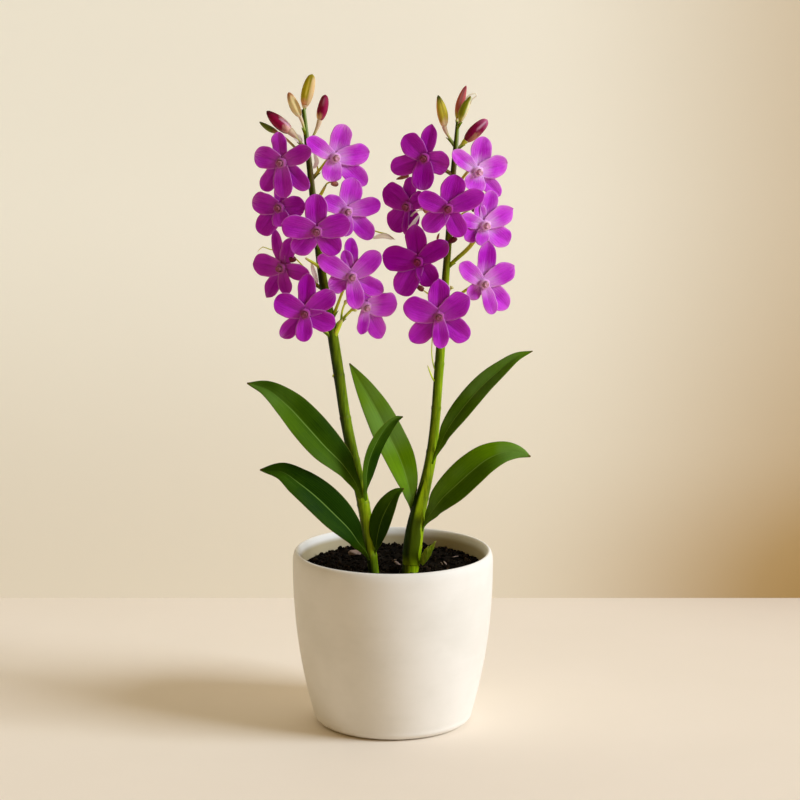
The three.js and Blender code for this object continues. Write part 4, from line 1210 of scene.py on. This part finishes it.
def leaf_skin(entry, seed):
    """Spine + across · half · v + normal · (fold · half · soft |v| + thickness),
        v from −1 to 1."""
    side, width, up, fold, clasp, tone, lit_half, midrib = entry
    rng = np.random.default_rng(seed)
    u = 1 - (1 - np.linspace(0, 1, LEAF_ROWS)) ** 1.25
    spine, across, normal = ribbon(midrib, up, u, 800)
    free = smooth(0, 0.17, u)[:, None]
    half = width / 2 * level_curve(LEAF_STATIONS, LEAF_WIDTHS, u)
    half = half * mix(0.5, 1, smooth(0, 0.1, u) ** 0.6)
    v, share = lens(LEAF_COLUMNS)
    slope = mix(clasp, fold, smooth(0, CLASP_END, u))[:, None]
    opened = smooth(0.15, 0.4, u)[:, None]
    bend = np.sqrt(v**2 + 0.004) - 0.063
    bulge = 0.16 * opened * (np.abs(v) - v**2)
    wave = rng.uniform(0.25, 0.45) * opened * v * np.abs(v)
    wave = wave * np.sin(FULL_TURN * (1.6 * u[:, None] + 0.25 * np.sign(v)) + rng.uniform(0, 6))
    rib = np.where(share > 0, -0.3, -0.55) * hump(v, 0, 0.055) * smooth(1, 0.8, u)[:, None]
    lift = half[:, None] * (slope * bend + bulge) + wave + rib
    thick = LEAF_THICKNESS * mix(1, 0.75, smooth(0.5, 1, u))[:, None] * mix(0.2, 1, free)
    grid = blade_grid(spine, across, normal, half, lift, thick, LEAF_COLUMNS)
    grid = on_cane(grid, CANES[side], share, free)
    # painted light and shade: one half of the blade lighter and the other darker, as light falls on
    # the fold
    tone = tone + lit_half * np.tanh(4 * v) * smooth(0.05, 0.3, u)[:, None]
    # painted sheen, lighter towards the tip
    tone = tone + 0.14 * smooth(0.45, 0.85, u)[:, None]
    return skin(grid, along=u[:, None], across=v, upper=(share > 0) * 1.0, tone=tone)


# %% The leaves' finish and the leaves


def leaf_finish():
    """Deep green to yellow-green by tone, with a painted sheen, veins, a pale rib and a brown edge.
    """
    f = Finish("satin_leaf")
    along, across, shade = f.number("along"), f.number("across"), f.number("tone")
    middle = abs(across)
    flow = f.node("CombineXYZ", {0: across * 14, 1: along * 3, 2: shade})
    veins, cloud = f.noise(1.6, 3, vector=flow), f.noise(45, 4)
    lines = f.math("SINE", across * 62 + veins * 5)
    tone = shade + (cloud - 0.5) * 0.4
    grain = f.fade(veins, 0.3, 0.7)
    deep = f.blend(grain, (22, 49, 0), (28, 58, 0))
    light = f.blend(grain, (98, 140, 0), (112, 154, 4))
    # painted sheen: a grey-green haze in patches, stronger on the lighter leaves
    painted_sheen = f.fade(f.noise(26, 2), 0.4, 0.62) * f.fade(tone, 0.05, 0.8, 0.0, 0.34)
    rib = f.fade(middle, 0.045, 0.01) * f.fade(along, 0.96, 0.6)
    colour = f.coats(
        f.blend(tone, deep, light),
        (painted_sheen, (120, 152, 92)),
        (f.fade(along, 0.2, 0.02, 0.0, 0.8), (80, 112, 6)),
        (f.fade(lines, 0.2, 1.0, 0.0, 0.05), (110, 150, 40)),
        (rib * 0.6, (132, 166, 72)),
        ((1.0 - f.number("upper")) * 0.35, (112, 140, 70)),
        (f.fade(middle, 0.955, 0.995) * 0.6, (140, 132, 40)),
        (f.fade(along + cloud * 0.03, 0.985, 1.015) * 0.85, (92, 66, 30)),
    )
    normal = f.bump(lines, 0.008, f.bump(veins, 0.12, f.bump(f.noise(2600, 2), 0.012)))
    return f.surface(colour, f.fade(cloud, 0.3, 0.7, 0.46, 0.6), normal, specular=0.03)


leaf_green = leaf_finish()
for number, (name, entry) in enumerate(LEAVES.items()):
    made = piece(f"{name}_veined", [leaf_skin(entry, 50 + number)], leaf_green, [name])
    print(made.name, len(made.data.polygons), "faces")

# %% [markdown]
# ## Sheath and new shoot
#
# The foot of the right cane is wrapped by a dark old sheath, a leaf without a blade, and beside it
# a new shoot comes up: a few bright scale leaves that fan out from one point. Both are blades
# again, with their own widths.

# %% Sheath

SHEATH_SPINE = [
    (9.4, -24.6, 101), (10, -24, 113), (11.8, -22.8, 128), (14.8, -21.6, 140), (17.6, -20.8, 152),
]
SHEATH_LOOKS = (-0.25, -0.95, 0.1)
SHEATH_WIDTHS = [9, 9.5, 8, 6, 1.4]


def sheath_skin():
    """A blade whose halves fall back round the cane, kept just clear of it."""
    u = np.linspace(0, 1, 70)
    spine, across, normal = ribbon(SHEATH_SPINE, SHEATH_LOOKS, u, 500)
    half = level_curve(np.linspace(0, 1, 5), SHEATH_WIDTHS, u) / 2
    v, share = lens(16)
    ragged = 0.25 * np.sin(19 * u[:, None]) * v**4
    lift = -0.8 * half[:, None] * (np.sqrt(v**2 + 0.01) - 0.1) + ragged
    half = half[:, None] * np.where(v < 0, 1.2 - 0.22 * np.abs(np.sin(9 * u[:, None])), 1)
    grid = blade_grid(spine, across, normal, half, lift, 0.9, 16)
    free = smooth(0, 0.12, u)[:, None] * smooth(1, 0.7, u)[:, None]
    grid = on_cane(grid, CANES["right"], share, 0.7 * free)
    return skin(grid, along=u[:, None], across=v, upper=1.0, tone=0.12)


def sheath_finish():
    """Deep green in streaks, brighter down one side of its upper part, lighter at its two ends."""
    f = Finish("old_sheath")
    streak = f.noise(420, 4, (1, 1, 0.1))
    along, across = f.number("along"), f.number("across") + (streak - 0.5) * 0.6
    low = f.fade(along, 0.68, 0.52) * f.fade(across, 0.4, 0.05)
    colour = f.coats(
        f.blend(f.fade(streak, 0.3, 0.7), (26, 42, 0), (48, 72, 4)),
        (f.fade(across, 0.25, -0.35), (150, 178, 10)),
        (low * 0.85, (38, 54, 0)),
        (f.fade(along, 0.14, 0.0, 0.0, 0.8), (140, 168, 14)),
        (f.fade(along, 0.86, 1.0) * 0.5, (84, 88, 16)),
    )
    return f.surface(colour, 0.45, f.bump(streak, 0.12), specular=0.08)


piece("sheath_right_worn", [sheath_skin()], sheath_finish(), ["sheath_right"])

# %% Shoot

SHOOT_ROOT = np.array([17, -20.5, 101.5])
# Each scale leaf: tip, width, and how far it bends forward.
SHOOT_SCALES = [
    ((25.7, -28, 117.5), 4.2, 0.8), ((23.4, -25, 112.4), 4.2, 0.5),
    ((21.2, -27.5, 114.2), 4.0, 0.6), ((24.6, -26.2, 116.4), 2.6, -0.4),
    ((20.0, -25.4, 110.6), 3.4, 1.0),
]


def scale_skin(tip, width, bend, number):
    """A small pointed blade from the root to its tip, bent forward by bend · u²."""
    u = np.linspace(0, 1, 36)
    tip = np.array(tip, float)
    way = unit(tip - SHOOT_ROOT)
    across = unit(np.cross([-0.3, -0.9, 0.2 * (number % 3)], way))
    normal = np.cross(way, across)
    spine = SHOOT_ROOT + (tip - SHOOT_ROOT) * u[:, None] + normal * (bend * u * u)[:, None]
    half = width / 2 * level_curve([0, 0.33, 0.67, 1], [0.7, 1, 0.72, 0.06], u)
    v, _ = lens(10)
    notch = 1 - 0.12 * np.sin(23 * u) * smooth(0.2, 0.5, u)
    lift = 0.35 * half[:, None] * v**2
    grid = blade_grid(spine, across, normal, half * notch, lift, 0.6, 10)
    return skin(grid, along=u[:, None], across=v, upper=1.0, tone=0.9)


def shoot_finish():
    """Bright yellow-green in fine streaks, duller towards the tips."""
    f = Finish("bright_shoot")
    streak = f.noise(800, 3, (1, 1, 0.2))
    colour = f.coats(
        f.blend(f.fade(streak, 0.3, 0.7), (132, 176, 30), (192, 214, 80)),
        (f.fade(f.number("along"), 0.7, 1.0) * 0.5, (176, 172, 84)),
    )
    return f.surface(colour, 0.45, f.bump(streak, 0.08), specular=0.12, soft=(0.1, 0.001))


scales = [scale_skin(*entry, number) for number, entry in enumerate(SHOOT_SCALES)]
piece("shoot_right_leafy", scales, shoot_finish(), ["shoot_right"])

# %% [markdown]
# ## The blooms
#
# A bloom has five to seven tepals round a small throat. Each tepal is thin, widest past its middle
# and rounded at the end. It rises out of the throat in a low arch, its margins come forward a
# little and it has a soft crease along its middle. The outline is a quarter sine out to the widest
# place and a rounded arch from there to the tip, so it needs no list of points.
#
# The colour is what makes the flower: a magenta purple that glows pinkish white round the throat
# and pales again in a thin line at the margin, with fine veins that fan out along the tepal. The
# margin's pale line and a haze near the edges are partly painted light, stronger on the blooms that
# face the lamp, and the crease carries painted shade. Light gets into such thin tissue, so the
# shader lets some of it scatter.

# %% Tepals

TEPAL_START, TEPAL_SET, TEPAL_LAYER = 1.6, -1.7, 1.0
TEPAL_CUP, TEPAL_ARCH, LEAST_SEEN = 0.14, 2.0, 0.65
TEPAL_WIDEST = 0.56
TEPAL_ROWS_OUT, TEPAL_ROWS_TIP, TEPAL_COLUMNS = 13, 15, 15
TEPAL_THICKNESS = 0.6
RIM_WIDTH, HAZE_WIDTH, FADED_TIP = 0.32, 2.2, 1.8
# How much lighter or darker than its bloom a lobe is, by the lobe's angle.
LOBE_TONES = {
    ("R1", -16): 0.5, ("R1", 267): -0.15, ("L8", 86): -0.22, ("L8", 155): 0.12, ("R6", 239): 0.2,
    ("R6", 97): -0.1, ("L7", 90): -0.3, ("L7", 105): -0.4, ("L7", 205): 0.15, ("L5", 11): -0.15,
    ("L2", 145): 0.1, ("L2", 72): -0.25, ("R2", 78): -0.2, ("R5", 77): -0.35, ("R5", 161): 0.1,
    ("R7", 82): -0.3, ("R8", 90): -0.12, ("R4", 76): -0.1, ("L4", 168): 0.15, ("L4", 93): -0.1,
    ("L9", 260): -0.3, ("L9", 3): 0.15, ("L6", -9): 0.3, ("L1", -44): 0.15, ("R8", -36): 0.1,
    ("R4", 23): 0.1,
}


def tepal_layer(angle):
    """The lip lies in front (+1), petals in the middle (0), sepals behind (−1)."""
    turn = angle % 360
    if 250 < turn < 290:
        return 1
    return 0 if turn < 50 or turn > 335 or 130 < turn < 200 else -1


def tepal_rows():
    """Shares of the length: even to the widest place, then sine steps that crowd at the tip."""
    out = np.linspace(0, TEPAL_WIDEST, TEPAL_ROWS_OUT, endpoint=False)
    arch = np.sin(np.linspace(0, math.radians(87), TEPAL_ROWS_TIP))
    return np.concatenate([out, TEPAL_WIDEST + (1 - TEPAL_WIDEST) * arch])


def tepal_width(u, widest, point):
    """0.62 + 0.42 · sin to the widest place, then 1.04 · (1 − x^2.5)^point to the tip."""
    rise = 0.62 + 0.42 * np.sin(np.pi / 2 * np.minimum(u / widest, 1))
    x = np.clip((u - widest) / (1 - widest), 0, 1)
    return rise * (1 - x**2.5) ** point


def tepal_skin(centre, look, lobe, glow, tone, rng):
    """centre + lengthwise · out + across · half · v + look · (arch, cup, curl, crease and waves).

    The two sides of a tepal have their widest places apart, and their margins wave on their own.
    """
    angle, reach, width, curl = lobe[:4]
    sharp = len(lobe) > 4
    turn = math.radians(angle)
    right, up = reach * math.cos(turn), reach * math.sin(turn)
    tip = np.array([right, -(look[0] * right + look[2] * up) / look[1], up])
    length = np.linalg.norm(tip)
    lengthwise = tip / length
    across = np.cross(look, lengthwise)
    seen = abs(across[2] * math.cos(turn) - across[0] * math.sin(turn))
    layer = tepal_layer(angle)
    u = tepal_rows()
    v, _ = lens(TEPAL_COLUMNS)
    apart = rng.uniform(-0.08, 0.08)
    point = rng.uniform(0.5, 0.64) + 0.3 * sharp
    sides = [tepal_width(u, TEPAL_WIDEST + apart * way, point) for way in (1, -1)]
    wavy = 0.025 * np.sin(FULL_TURN * (2.2 * u[:, None] + 0.3 * np.sign(v)) + rng.uniform(0, 6))
    wavy = 1 + wavy * smooth(0.1, 0.4, u)[:, None]
    shape = np.where(v > 0, sides[0][:, None], sides[1][:, None])
    half = width / 2 / max(seen, LEAST_SEEN) * shape * wavy
    forward = TEPAL_SET + layer * TEPAL_LAYER + TEPAL_ARCH * u * (1 - 0.6 * u) + curl * u * u
    cup = TEPAL_CUP * half * v**2
    fold = rng.uniform(0.4, 0.75) if layer < 0 else rng.uniform(0.2, 0.5)
    crease = -fold * hump(v, 0, 0.2) * (np.sin(np.pi * u) ** 0.7)[:, None]
    twist = rng.uniform(-0.45, 0.45) * v * (u * u)[:, None]
    phase, waves = rng.uniform(0, 6), rng.uniform(1.2, 2.0)
    ruffle = rng.uniform(0.2, 0.5) * v**2
    ruffle = ruffle * np.sin(FULL_TURN * waves * u[:, None] + phase + np.sign(v))
    ruffle = ruffle * smooth(0.15, 0.6, u)[:, None]
    lift = forward[:, None] + cup + crease + twist + ruffle - TEPAL_THICKNESS / 2
    spine = centre + lengthwise * mix(TEPAL_START, length, u)[:, None]
    grid = blade_grid(spine, across, look, half, lift, TEPAL_THICKNESS, TEPAL_COLUMNS)
    to_side = half * (1 - np.abs(v))
    to_tip = (length - TEPAL_START) * (1 - u)[:, None]
    to_edge = np.minimum(to_side, to_tip + 0.15 * half)
    faded = rng.uniform(0, 1) ** 3 * np.exp(-to_tip / FADED_TIP)
    rim, haze = np.exp(-to_edge / RIM_WIDTH), np.exp(-to_edge / HAZE_WIDTH)
    # painted shade on the fold: one half, picked at random, is lighter and the other darker
    halves = rng.choice([-1, 1]) * rng.uniform(0.04, 0.13 if layer else 0.09) * np.tanh(3 * v)
    outer = rng.uniform(-0.2, 0.16) * smooth(0.35, 1, u)[:, None]
    own = tone + rng.uniform(-0.1, 0.1) + halves * smooth(0, 0.4, u)[:, None] + outer
    plain = {"glow": glow, "deep": 0.0, "stem": 0.0}
    pale = np.maximum(rim, faded)
    return skin(grid, along=u[:, None], across=v, rim=pale, haze=haze, tone=own, **plain)


# %% Throat

THROAT_PROFILE = [
    (-7, 1.1), (-5.6, 1.2), (-4.6, 1.5), (-3.8, 2.5), (-2.4, 2.9), (-0.7, 3.0), (-0.5, 2.4),
        (-0.9, 0.8),
]
COLLAR_PROFILE = [
    (-1.0, 1.5), (0.0, 2.2), (0.55, 2.9), (0.75, 3.1), (0.95, 2.9), (1.3, 2.4), (1.75, 1.95),
    (1.85, 1.8), (1.2, 1.74), (-0.25, 1.7),
]


def about_axis(centre, look, profile, sides, wobble=0.0, waves=3):
    """(distance forward, radius) pairs turned about a bloom's axis, the rim waved by `wobble`."""
    forward, radius = np.array(profile, float).T
    side = any_square_to(look)
    turn = turns(sides)
    wave = 1 + wobble * np.cos(waves * turn) * hump(forward, 0.8, 0.4)[:, None]
    out = (radius[:, None] * wave)[..., None] * circle(side, np.cross(look, side), turn)
    return centre + look * forward[:, None, None] + out


def throat_skins(centre, look, tone, rng):
    """The ovary and cup behind the tepals, and the low waved mound that holds the column."""
    cup = about_axis(centre, look, THROAT_PROFILE, 24)
    forward = np.array([p[0] for p in THROAT_PROFILE])
    stem = smooth(-3.5, -5.5, forward)[:, None]
    collar = about_axis(centre, look, COLLAR_PROFILE, 30, wobble=rng.uniform(0.05, 0.1), waves=5)
    inner = smooth(3, 1.8, np.array([p[1] for p in COLLAR_PROFILE]))[:, None]
    plain = {"across": 0.5, "rim": 0.0, "tone": tone, "glow": tone}
    return [
        skin(cup, along=0.02, deep=0.0, stem=stem, **plain),
        skin(collar, along=0.05, deep=inner, stem=0.0, **plain),
    ]


# %% The tepals' finish


def tepal_finish():
    """Magenta purple by tone and veined, pale round the throat of light blooms, pink at the rim;
    painted shade in the crease, and painted light in the haze and the rim.
    """
    f = Finish("purple_tepal")
    along, across = f.number("along"), f.number("across")
    glow, own = f.number("glow"), f.number("tone")
    middle, light = abs(across), glow**1.9
    cloud = f.noise(95, 3)
    flow = f.node("CombineXYZ", {0: across * 9, 1: along * 2.2, 2: own})
    warp = f.noise(1.4, 3, vector=flow)
    tone = own + (cloud - 0.5) * 0.7 + (warp - 0.5) * 0.6
    veins = f.fade(f.math("SINE", across * 30 + warp * 9), 0.5, 1.0) * f.fade(along, 1.0, 0.55)
    # painted shade along the crease down the tepal's middle
    crease = f.fade(middle, 0.1, 0.0) * f.fade(along, 0.95, 0.3)
    out = along + (warp - 0.5) * 0.34 + middle * 0.1
    flare = f.fade(out, 0.57, 0.04) * f.fade(glow, 0.0, 0.9, 0.06, 0.95)
    # partly painted light: a pale haze near the edges and the pink rim, stronger on blooms that
    # face the lamp, as light coming through the thin edges; the rim is partly the tepal's own pale
    # margin
    haze = f.number("haze") * f.fade(glow, 0.2, 1.0, 0.3, 0.65) * f.fade(cloud, 0.35, 0.6)
    rim = f.number("rim") * f.fade(warp, 0.35, 0.65, 0.05, 0.6) * f.fade(glow, 0.0, 0.8, 0.55, 1.4)
    colour = f.coats(
        f.blend(tone, (168, 2, 178), (212, 56, 226)),
        (veins * 0.15, (104, 0, 92)),
        (crease * 0.4, (100, 0, 92)),
        (flare, f.blend(light, (200, 56, 196), (244, 196, 250))),
        (f.fade(out, 0.2, 0.02, 0.0, 0.7), f.blend(light, (156, 40, 124), (248, 204, 240))),
        (haze, f.blend(light, (206, 60, 180), (236, 160, 236))),
        (rim, (255, 200, 236)),
        (f.number("deep"), f.blend(light, (128, 32, 74), (246, 188, 222))),
        (f.number("stem"), (214, 196, 176)),
    )
    normal = f.bump(veins, -0.05, f.bump(warp, 0.3, f.bump(f.noise(2600, 1), 0.02)))
    return f.surface(colour, 0.6, normal, specular=0.05, soft=(0.2, 0.0012), radius=(1.0, 0.3, 0.8))


# %% Columns

COLUMN_START, COLUMN_LENGTH, COLUMN_RADIUS = -0.1, 4.6, 1.6
# Distance forward as a share of the length, radius as a share, and how deep in the hollow it is.
COLUMN_PROFILE = [
    (0, 0.8, 0), (0.2, 0.82, 0), (0.4, 0.87, 0), (0.6, 0.96, 0), (0.76, 1.02, 0), (0.87, 0.96, 0),
    (0.95, 0.86, 0.1), (0.98, 0.74, 0.5), (0.97, 0.62, 0.85), (0.94, 0.44, 1), (0.93, 0.14, 1),
]
HOLLOW_LOW = 0.25  # how far the hollow sits below the middle


def column_skins(centre, look, tone, rng):
    """A short rounded peg with a small hollow low in its end, and the anther's cap above that."""
    share, radius, depth = np.array(COLUMN_PROFILE, float).T
    forward = COLUMN_START + COLUMN_LENGTH * share
    side = unit(np.cross([0, 0, 1.0], look))
    up = np.cross(look, side)
    turn = turns(26)
    ring = circle(side, up, turn)
    out = COLUMN_RADIUS * radius[:, None] * (1 + 0.05 * np.cos(3 * turn + rng.uniform(0, 6)))
    low = -HOLLOW_LOW * smooth(0.8, 0.4, radius)
    axis = centre + look * forward[:, None] + up * low[:, None]
    peg = axis[:, None] + ring * out[..., None]
    cap_at = centre + look * (COLUMN_START + 0.93 * COLUMN_LENGTH) + up * 0.95
    rise = np.radians(np.linspace(-80, 80, 9))
    cap = about_axis(cap_at, look, np.stack([0.4 * np.sin(rise), 0.6 * np.cos(rise)], 1), 16)
    plain = {"glow": tone, "tone": rng.uniform(0, 1)}
    return [skin(peg, deep=depth[:, None], cap=0.0, **plain), skin(cap, deep=0.0, cap=1.0, **plain)]


def column_finish():
    """Brown mauve on dark blooms and pinkish tan on light ones, darker in the hollow."""
    f = Finish("tan_column")
    light, cloud = f.number("glow") ** 1.9, f.noise(900, 3)
    spots = f.number("tone") * f.fade(cloud, 0.35, 0.65, 0.2, 0.8)
    colour = f.coats(
        f.blend(light, (116, 20, 52), (250, 192, 220)),
        (spots, f.blend(light, (106, 38, 54), (232, 176, 172))),
        (f.number("cap") * 0.5, f.blend(light, (134, 50, 70), (250, 206, 214))),
        (f.number("deep") * 0.8, f.blend(light, (134, 34, 88), (240, 170, 208))),
    )
    return f.surface(colour, 0.6, f.bump(cloud, 0.08), specular=0.08, soft=(0.1, 0.0008))


# %% The blooms themselves

purple, tan = tepal_finish(), column_finish()
for number, (name, entry) in enumerate(BLOOMS.items()):
    _, _, centre, yaw, pitch, tone, lobes = entry
    rng = np.random.default_rng(100 + number)
    centre, look = np.array(centre, float), facing(yaw, pitch)
    tones = [tone + LOBE_TONES.get((name, lobe[0]), 0) for lobe in lobes]
    skins = [tepal_skin(centre, look, lobe, tone, own, rng) for lobe, own in zip(lobes, tones)]
    skins += throat_skins(centre, look, tone, rng)
    piece(f"bloom_{name}_petals", skins, purple, [f"bloom_{name}"])
    skins = column_skins(centre, look, tone, rng)
    piece(f"column_{name}_hooded", skins, tan, [f"column_{name}"])
print(len(BLOOMS), "blooms with", sum(len(e[-1]) for e in BLOOMS.values()), "tepals")

# %% [markdown]
# ## The buds
#
# A bud is a spindle of folded sepals: slightly three-sided, with a seam between each two, bent a
# little and drawn out to a tip. Green ones fade to peach where the light comes through, and most
# purple ones are pale at the foot.

# %% Buds


def bud_skin(base, tip, width, foot, head, bend, **values):
    """Rings along a bent axis; radius = profile · (1 + 0.06 · cos 3a), rounded off at the tip."""
    base, tip = np.array(base, float), np.array(tip, float)
    share = np.sin(np.linspace(0, np.pi / 2, 34))
    way = unit(tip - base)
    aside = unit(np.cross(way, [0, 1.0, 0]))
    path = base + (tip - base) * share[:, None] + aside * (bend * 4 * share * (1 - share))[:, None]
    bluntness = np.where(np.array(BUD_SHARES) < BUD_WIDEST, foot, head)
    profile = mix(BUD_POINTED, BUD_BLUNT, bluntness)
    radius = width / 2 * level_curve(BUD_SHARES, profile, share)
    radius = radius * np.sqrt(np.clip((1.0005 - share) / 0.05, 0, 1))
    turn = turns(24)
    fold = np.cos(3 * turn + 1.2 * share[:, None] + base[0])
    grid = tube_grid(path, radius[:, None] * (1 + 0.06 * fold), 24, np.array([0, 1.0, 0]))
    side = np.sin(turn + 0.4)[None]
    return skin(grid, along=share[:, None], side=side, seam=smooth(-0.7, -1, fold), **values)


PINK, YELLOW = (236, 184, 206), (234, 206, 90)
# A painted highlight, the pale stripe along some buds: its place on `side`, its half width, where
# along the bud it begins and ends, how strong it is and its colour.
GLEAMS = {
    "L3": (-0.95, 0.22, -0.1, 0.6, 0.9, PINK), "L5": (-0.25, 0.45, 0.45, 0.98, 0.22, PINK),
    "R4": (-0.42, 0.34, 0.45, 1.08, 0.65, PINK), "R2": (-0.2, 0.5, 0.3, 0.95, 0.3, PINK),
    "L1": (-0.2, 0.3, 0.2, 0.98, 0.7, YELLOW),
}
NO_GLEAM = (0, 1, 0, 1, 0, PINK)


def bud_finish(name, foot, middle, head, aside, low, high, until=1.02):
    """Foot, middle and tip colours; another where `side` is from low to high, up to `until`."""
    centre, width, begin, end, strength, shine = GLEAMS.get(name, NO_GLEAM)
    f = Finish(f"bud_{name}_skin")
    streak = f.noise(600, 3, (1, 1, 0.25))
    loose = (streak - 0.5) * 0.35
    along, side, seam = f.number("along") + loose, f.number("side"), f.number("seam")
    sideways = f.fade(side + loose, low, high, 0.0, 0.9) * f.fade(along, until, until - 0.22)
    run = f.fade(along, begin, begin + 0.2) * f.fade(along, end, end - 0.2)
    colour = f.coats(
        f.blend(f.fade(along, 0.02, 0.3), foot, middle),
        (f.fade(along, 0.6, 0.98), head),
        (sideways, aside),
        # painted highlight: the pale stripe along one side
        (f.fade(abs(side - centre), width, 0.0, 0.0, strength) * run, shine),
    )
    colour = f.blend(seam * 0.4, colour, f.blend(0.6, colour, (50, 14, 12)))
    normal = f.bump(streak, 0.1, f.bump(seam, -0.15))
    return f.surface(colour, 0.5, normal, specular=0.12, soft=(0.18, 0.001))


# Colours of the foot, the middle and the tip, then of one side, and from where to where on the
# bud's `side` that one comes in: 1 is its left, −0.4 its front and −1 its right.
BUD_COLOURS = {
    "L1": ((226, 160, 112), (186, 170, 24), (160, 146, 20), (226, 192, 140), -0.35, -0.85),
    "L2": ((244, 230, 180), (244, 222, 160), (166, 100, 56), (150, 112, 40), -0.5, -0.85, 0.8),
    "L3": ((236, 186, 160), (150, 2, 62), (84, 6, 32), (104, 0, 46), 0.3, 0.9),
    "L4": ((180, 136, 84), (112, 132, 40), (86, 108, 32), (150, 162, 64), 0.2, 0.9),
    "L5": ((236, 190, 134), (140, 2, 58), (122, 4, 52), (150, 16, 72), -0.4, -0.8),
    "R1": ((240, 214, 160), (196, 178, 50), (70, 80, 16), (226, 164, 84), 0.0, 0.6),
    "R2": ((186, 172, 60), (196, 100, 84), (164, 66, 78), (190, 90, 96), -0.4, -0.9),
    "R3": ((196, 190, 70), (146, 152, 22), (130, 130, 28), (244, 232, 184), -0.5, -0.9),
    "R4": ((140, 40, 60), (138, 4, 66), (184, 84, 126), (206, 156, 106), -0.4, -0.75, 0.55),
}
for name, (_, _, base, tip, width, foot, head, colour, bend) in BUDS.items():
    finish = bud_finish(name, *BUD_COLOURS[name])
    skins = [bud_skin(base, tip, width, foot, head, bend)]
    piece(f"bud_{name}_folded", skins, finish, [f"bud_{name}"])
print(len(BUDS), "buds")

# %% [markdown]
# ## Small buds and papery bracts
#
# Between the blooms sit a few buds that stopped growing, dark red and a few millimetres long, and
# some bracts that have dried to thin pale paper. The buds are small spindles like the large ones;
# the bracts are little blades that are carried along a short bent line.

# %% Small buds and papery bracts

# Base, tip, thickness, how blunt the foot and the head are, and tone from dark red 0 to tan 1.
SMALL_BUDS = [
    ((47.6, -12, 309.6), (47.8, -12, 313.8), 4, 1, 1, 0.1),
    ((37.2, -8, 294), (31.9, -8, 291), 3.6, 0.8, 0.1, 0.05),
    ((18, -14, 264), (14.2, -14, 266.6), 3.2, 0.8, 0.7, 0.2),
    ((18, -10, 309.4), (22, -10, 311.4), 3.4, 0.7, 0.7, 0.8),
    ((26, -9, 293), (27.2, -9, 296.8), 1.4, 0.8, 0.1, 0.6),
    ((-35.6, -10, 326.2), (-31.4, -10, 324.8), 3.4, 0.9, 0.7, 0.4),
    ((9.4, -10, 330.6), (2, -10, 328.2), 2.4, 0.9, 0.1, 0.35),
    ((-60, -12, 281.2), (-56, -12, 282.2), 3.6, 0.9, 0.8, 0.0),
]
# The bract's middle line and its width.
BRACTS = [
    ([(-11.6, -6, 293.4), (-5.6, -6.6, 294.8), (0.6, -6, 293)], 3),
    ([(-47.4, -8.6, 279), (-46, -9.4, 274), (-43.8, -9.2, 267.4)], 2.6),
    ([(-53, -2.4, 348.6), (-54.6, -3, 351), (-57.2, -2.6, 353.4)], 4),
    ([(-45.8, -5.6, 334), (-44, -6.8, 338), (-45.4, -6.6, 342.4)], 2.6),
    ([(7.8, -10, 296), (11.6, -10.8, 302), (15.4, -10, 307.4)], 2.4),
]
BRACTS_LOOK = (0.1, -1.0, 0.15)
# Thin pale threads, and how thick they are.
THREADS = [
    ([(42, -5.4, 372.4), (43, -6, 375.2), (45.6, -6, 377), (48, -6, 377.3), (48.5, -6, 376),
        (46.2, -6, 374.2), (45, -6, 371)], 0.4),
    ([(10.6, -6, 306), (13, -9.2, 309), (16, -9.9, 310.2), (18.2, -10, 310)], 0.5),
]


def small_bud_finish():
    """Dark red to reddish tan, darker at the tip."""
    f = Finish("small_bud_skin")
    streak = f.noise(900, 3, (1, 1, 0.4))
    colour = f.coats(
        f.blend(f.number("tone") + (streak - 0.5) * 0.5, (96, 6, 26), (206, 140, 104)),
        (f.fade(f.number("along"), 0.5, 1.0, 0.0, 0.6), (60, 4, 18)),
    )
    return f.surface(colour, 0.45, f.bump(streak, 0.1), specular=0.3)


def bract_finish():
    """Dry and pale, with fine veins along it, and light comes through."""
    f = Finish("papery_bract")
    vein, cloud = f.math("SINE", f.number("across") * 22), f.noise(300, 3)
    colour = f.coats(
        f.blend(f.fade(cloud, 0.35, 0.65), (250, 234, 212), (250, 244, 214)),
        (f.fade(vein, 0.5, 1.0, 0.0, 0.08), (206, 176, 146)),
    )
    relief = f.bump(vein, 0.01)
    return f.surface(colour, 0.7, relief, specular=0.1, soft=(0.6, 0.002), radius=(1.0, 0.95, 0.8))


def papery_skin(points, width):
    """A thin blade along a smooth line, widest in its middle and hollow in front."""
    u = np.linspace(0, 1, 20)
    spine, across, normal = ribbon(points, BRACTS_LOOK, u, 200)
    half = width / 2 * (0.25 + 0.75 * np.sin(np.pi * u) ** 0.7)
    v, _ = lens(8)
    lift = 0.3 * half[:, None] * v**2
    grid = blade_grid(spine, across, normal, half, lift, 0.3, 8)
    return skin(grid, along=u[:, None], across=v)


tiny = [bud_skin(*shape, 0.1, tone=tone) for *shape, tone in SMALL_BUDS]
piece("buds_stunted", tiny, small_bud_finish())
papery = [papery_skin(*entry) for entry in BRACTS] + [spur_skin(*thread, 0) for thread in THREADS]
piece("bracts_papery", papery, bract_finish())
print(len(SMALL_BUDS), "small buds and", len(BRACTS), "bracts")
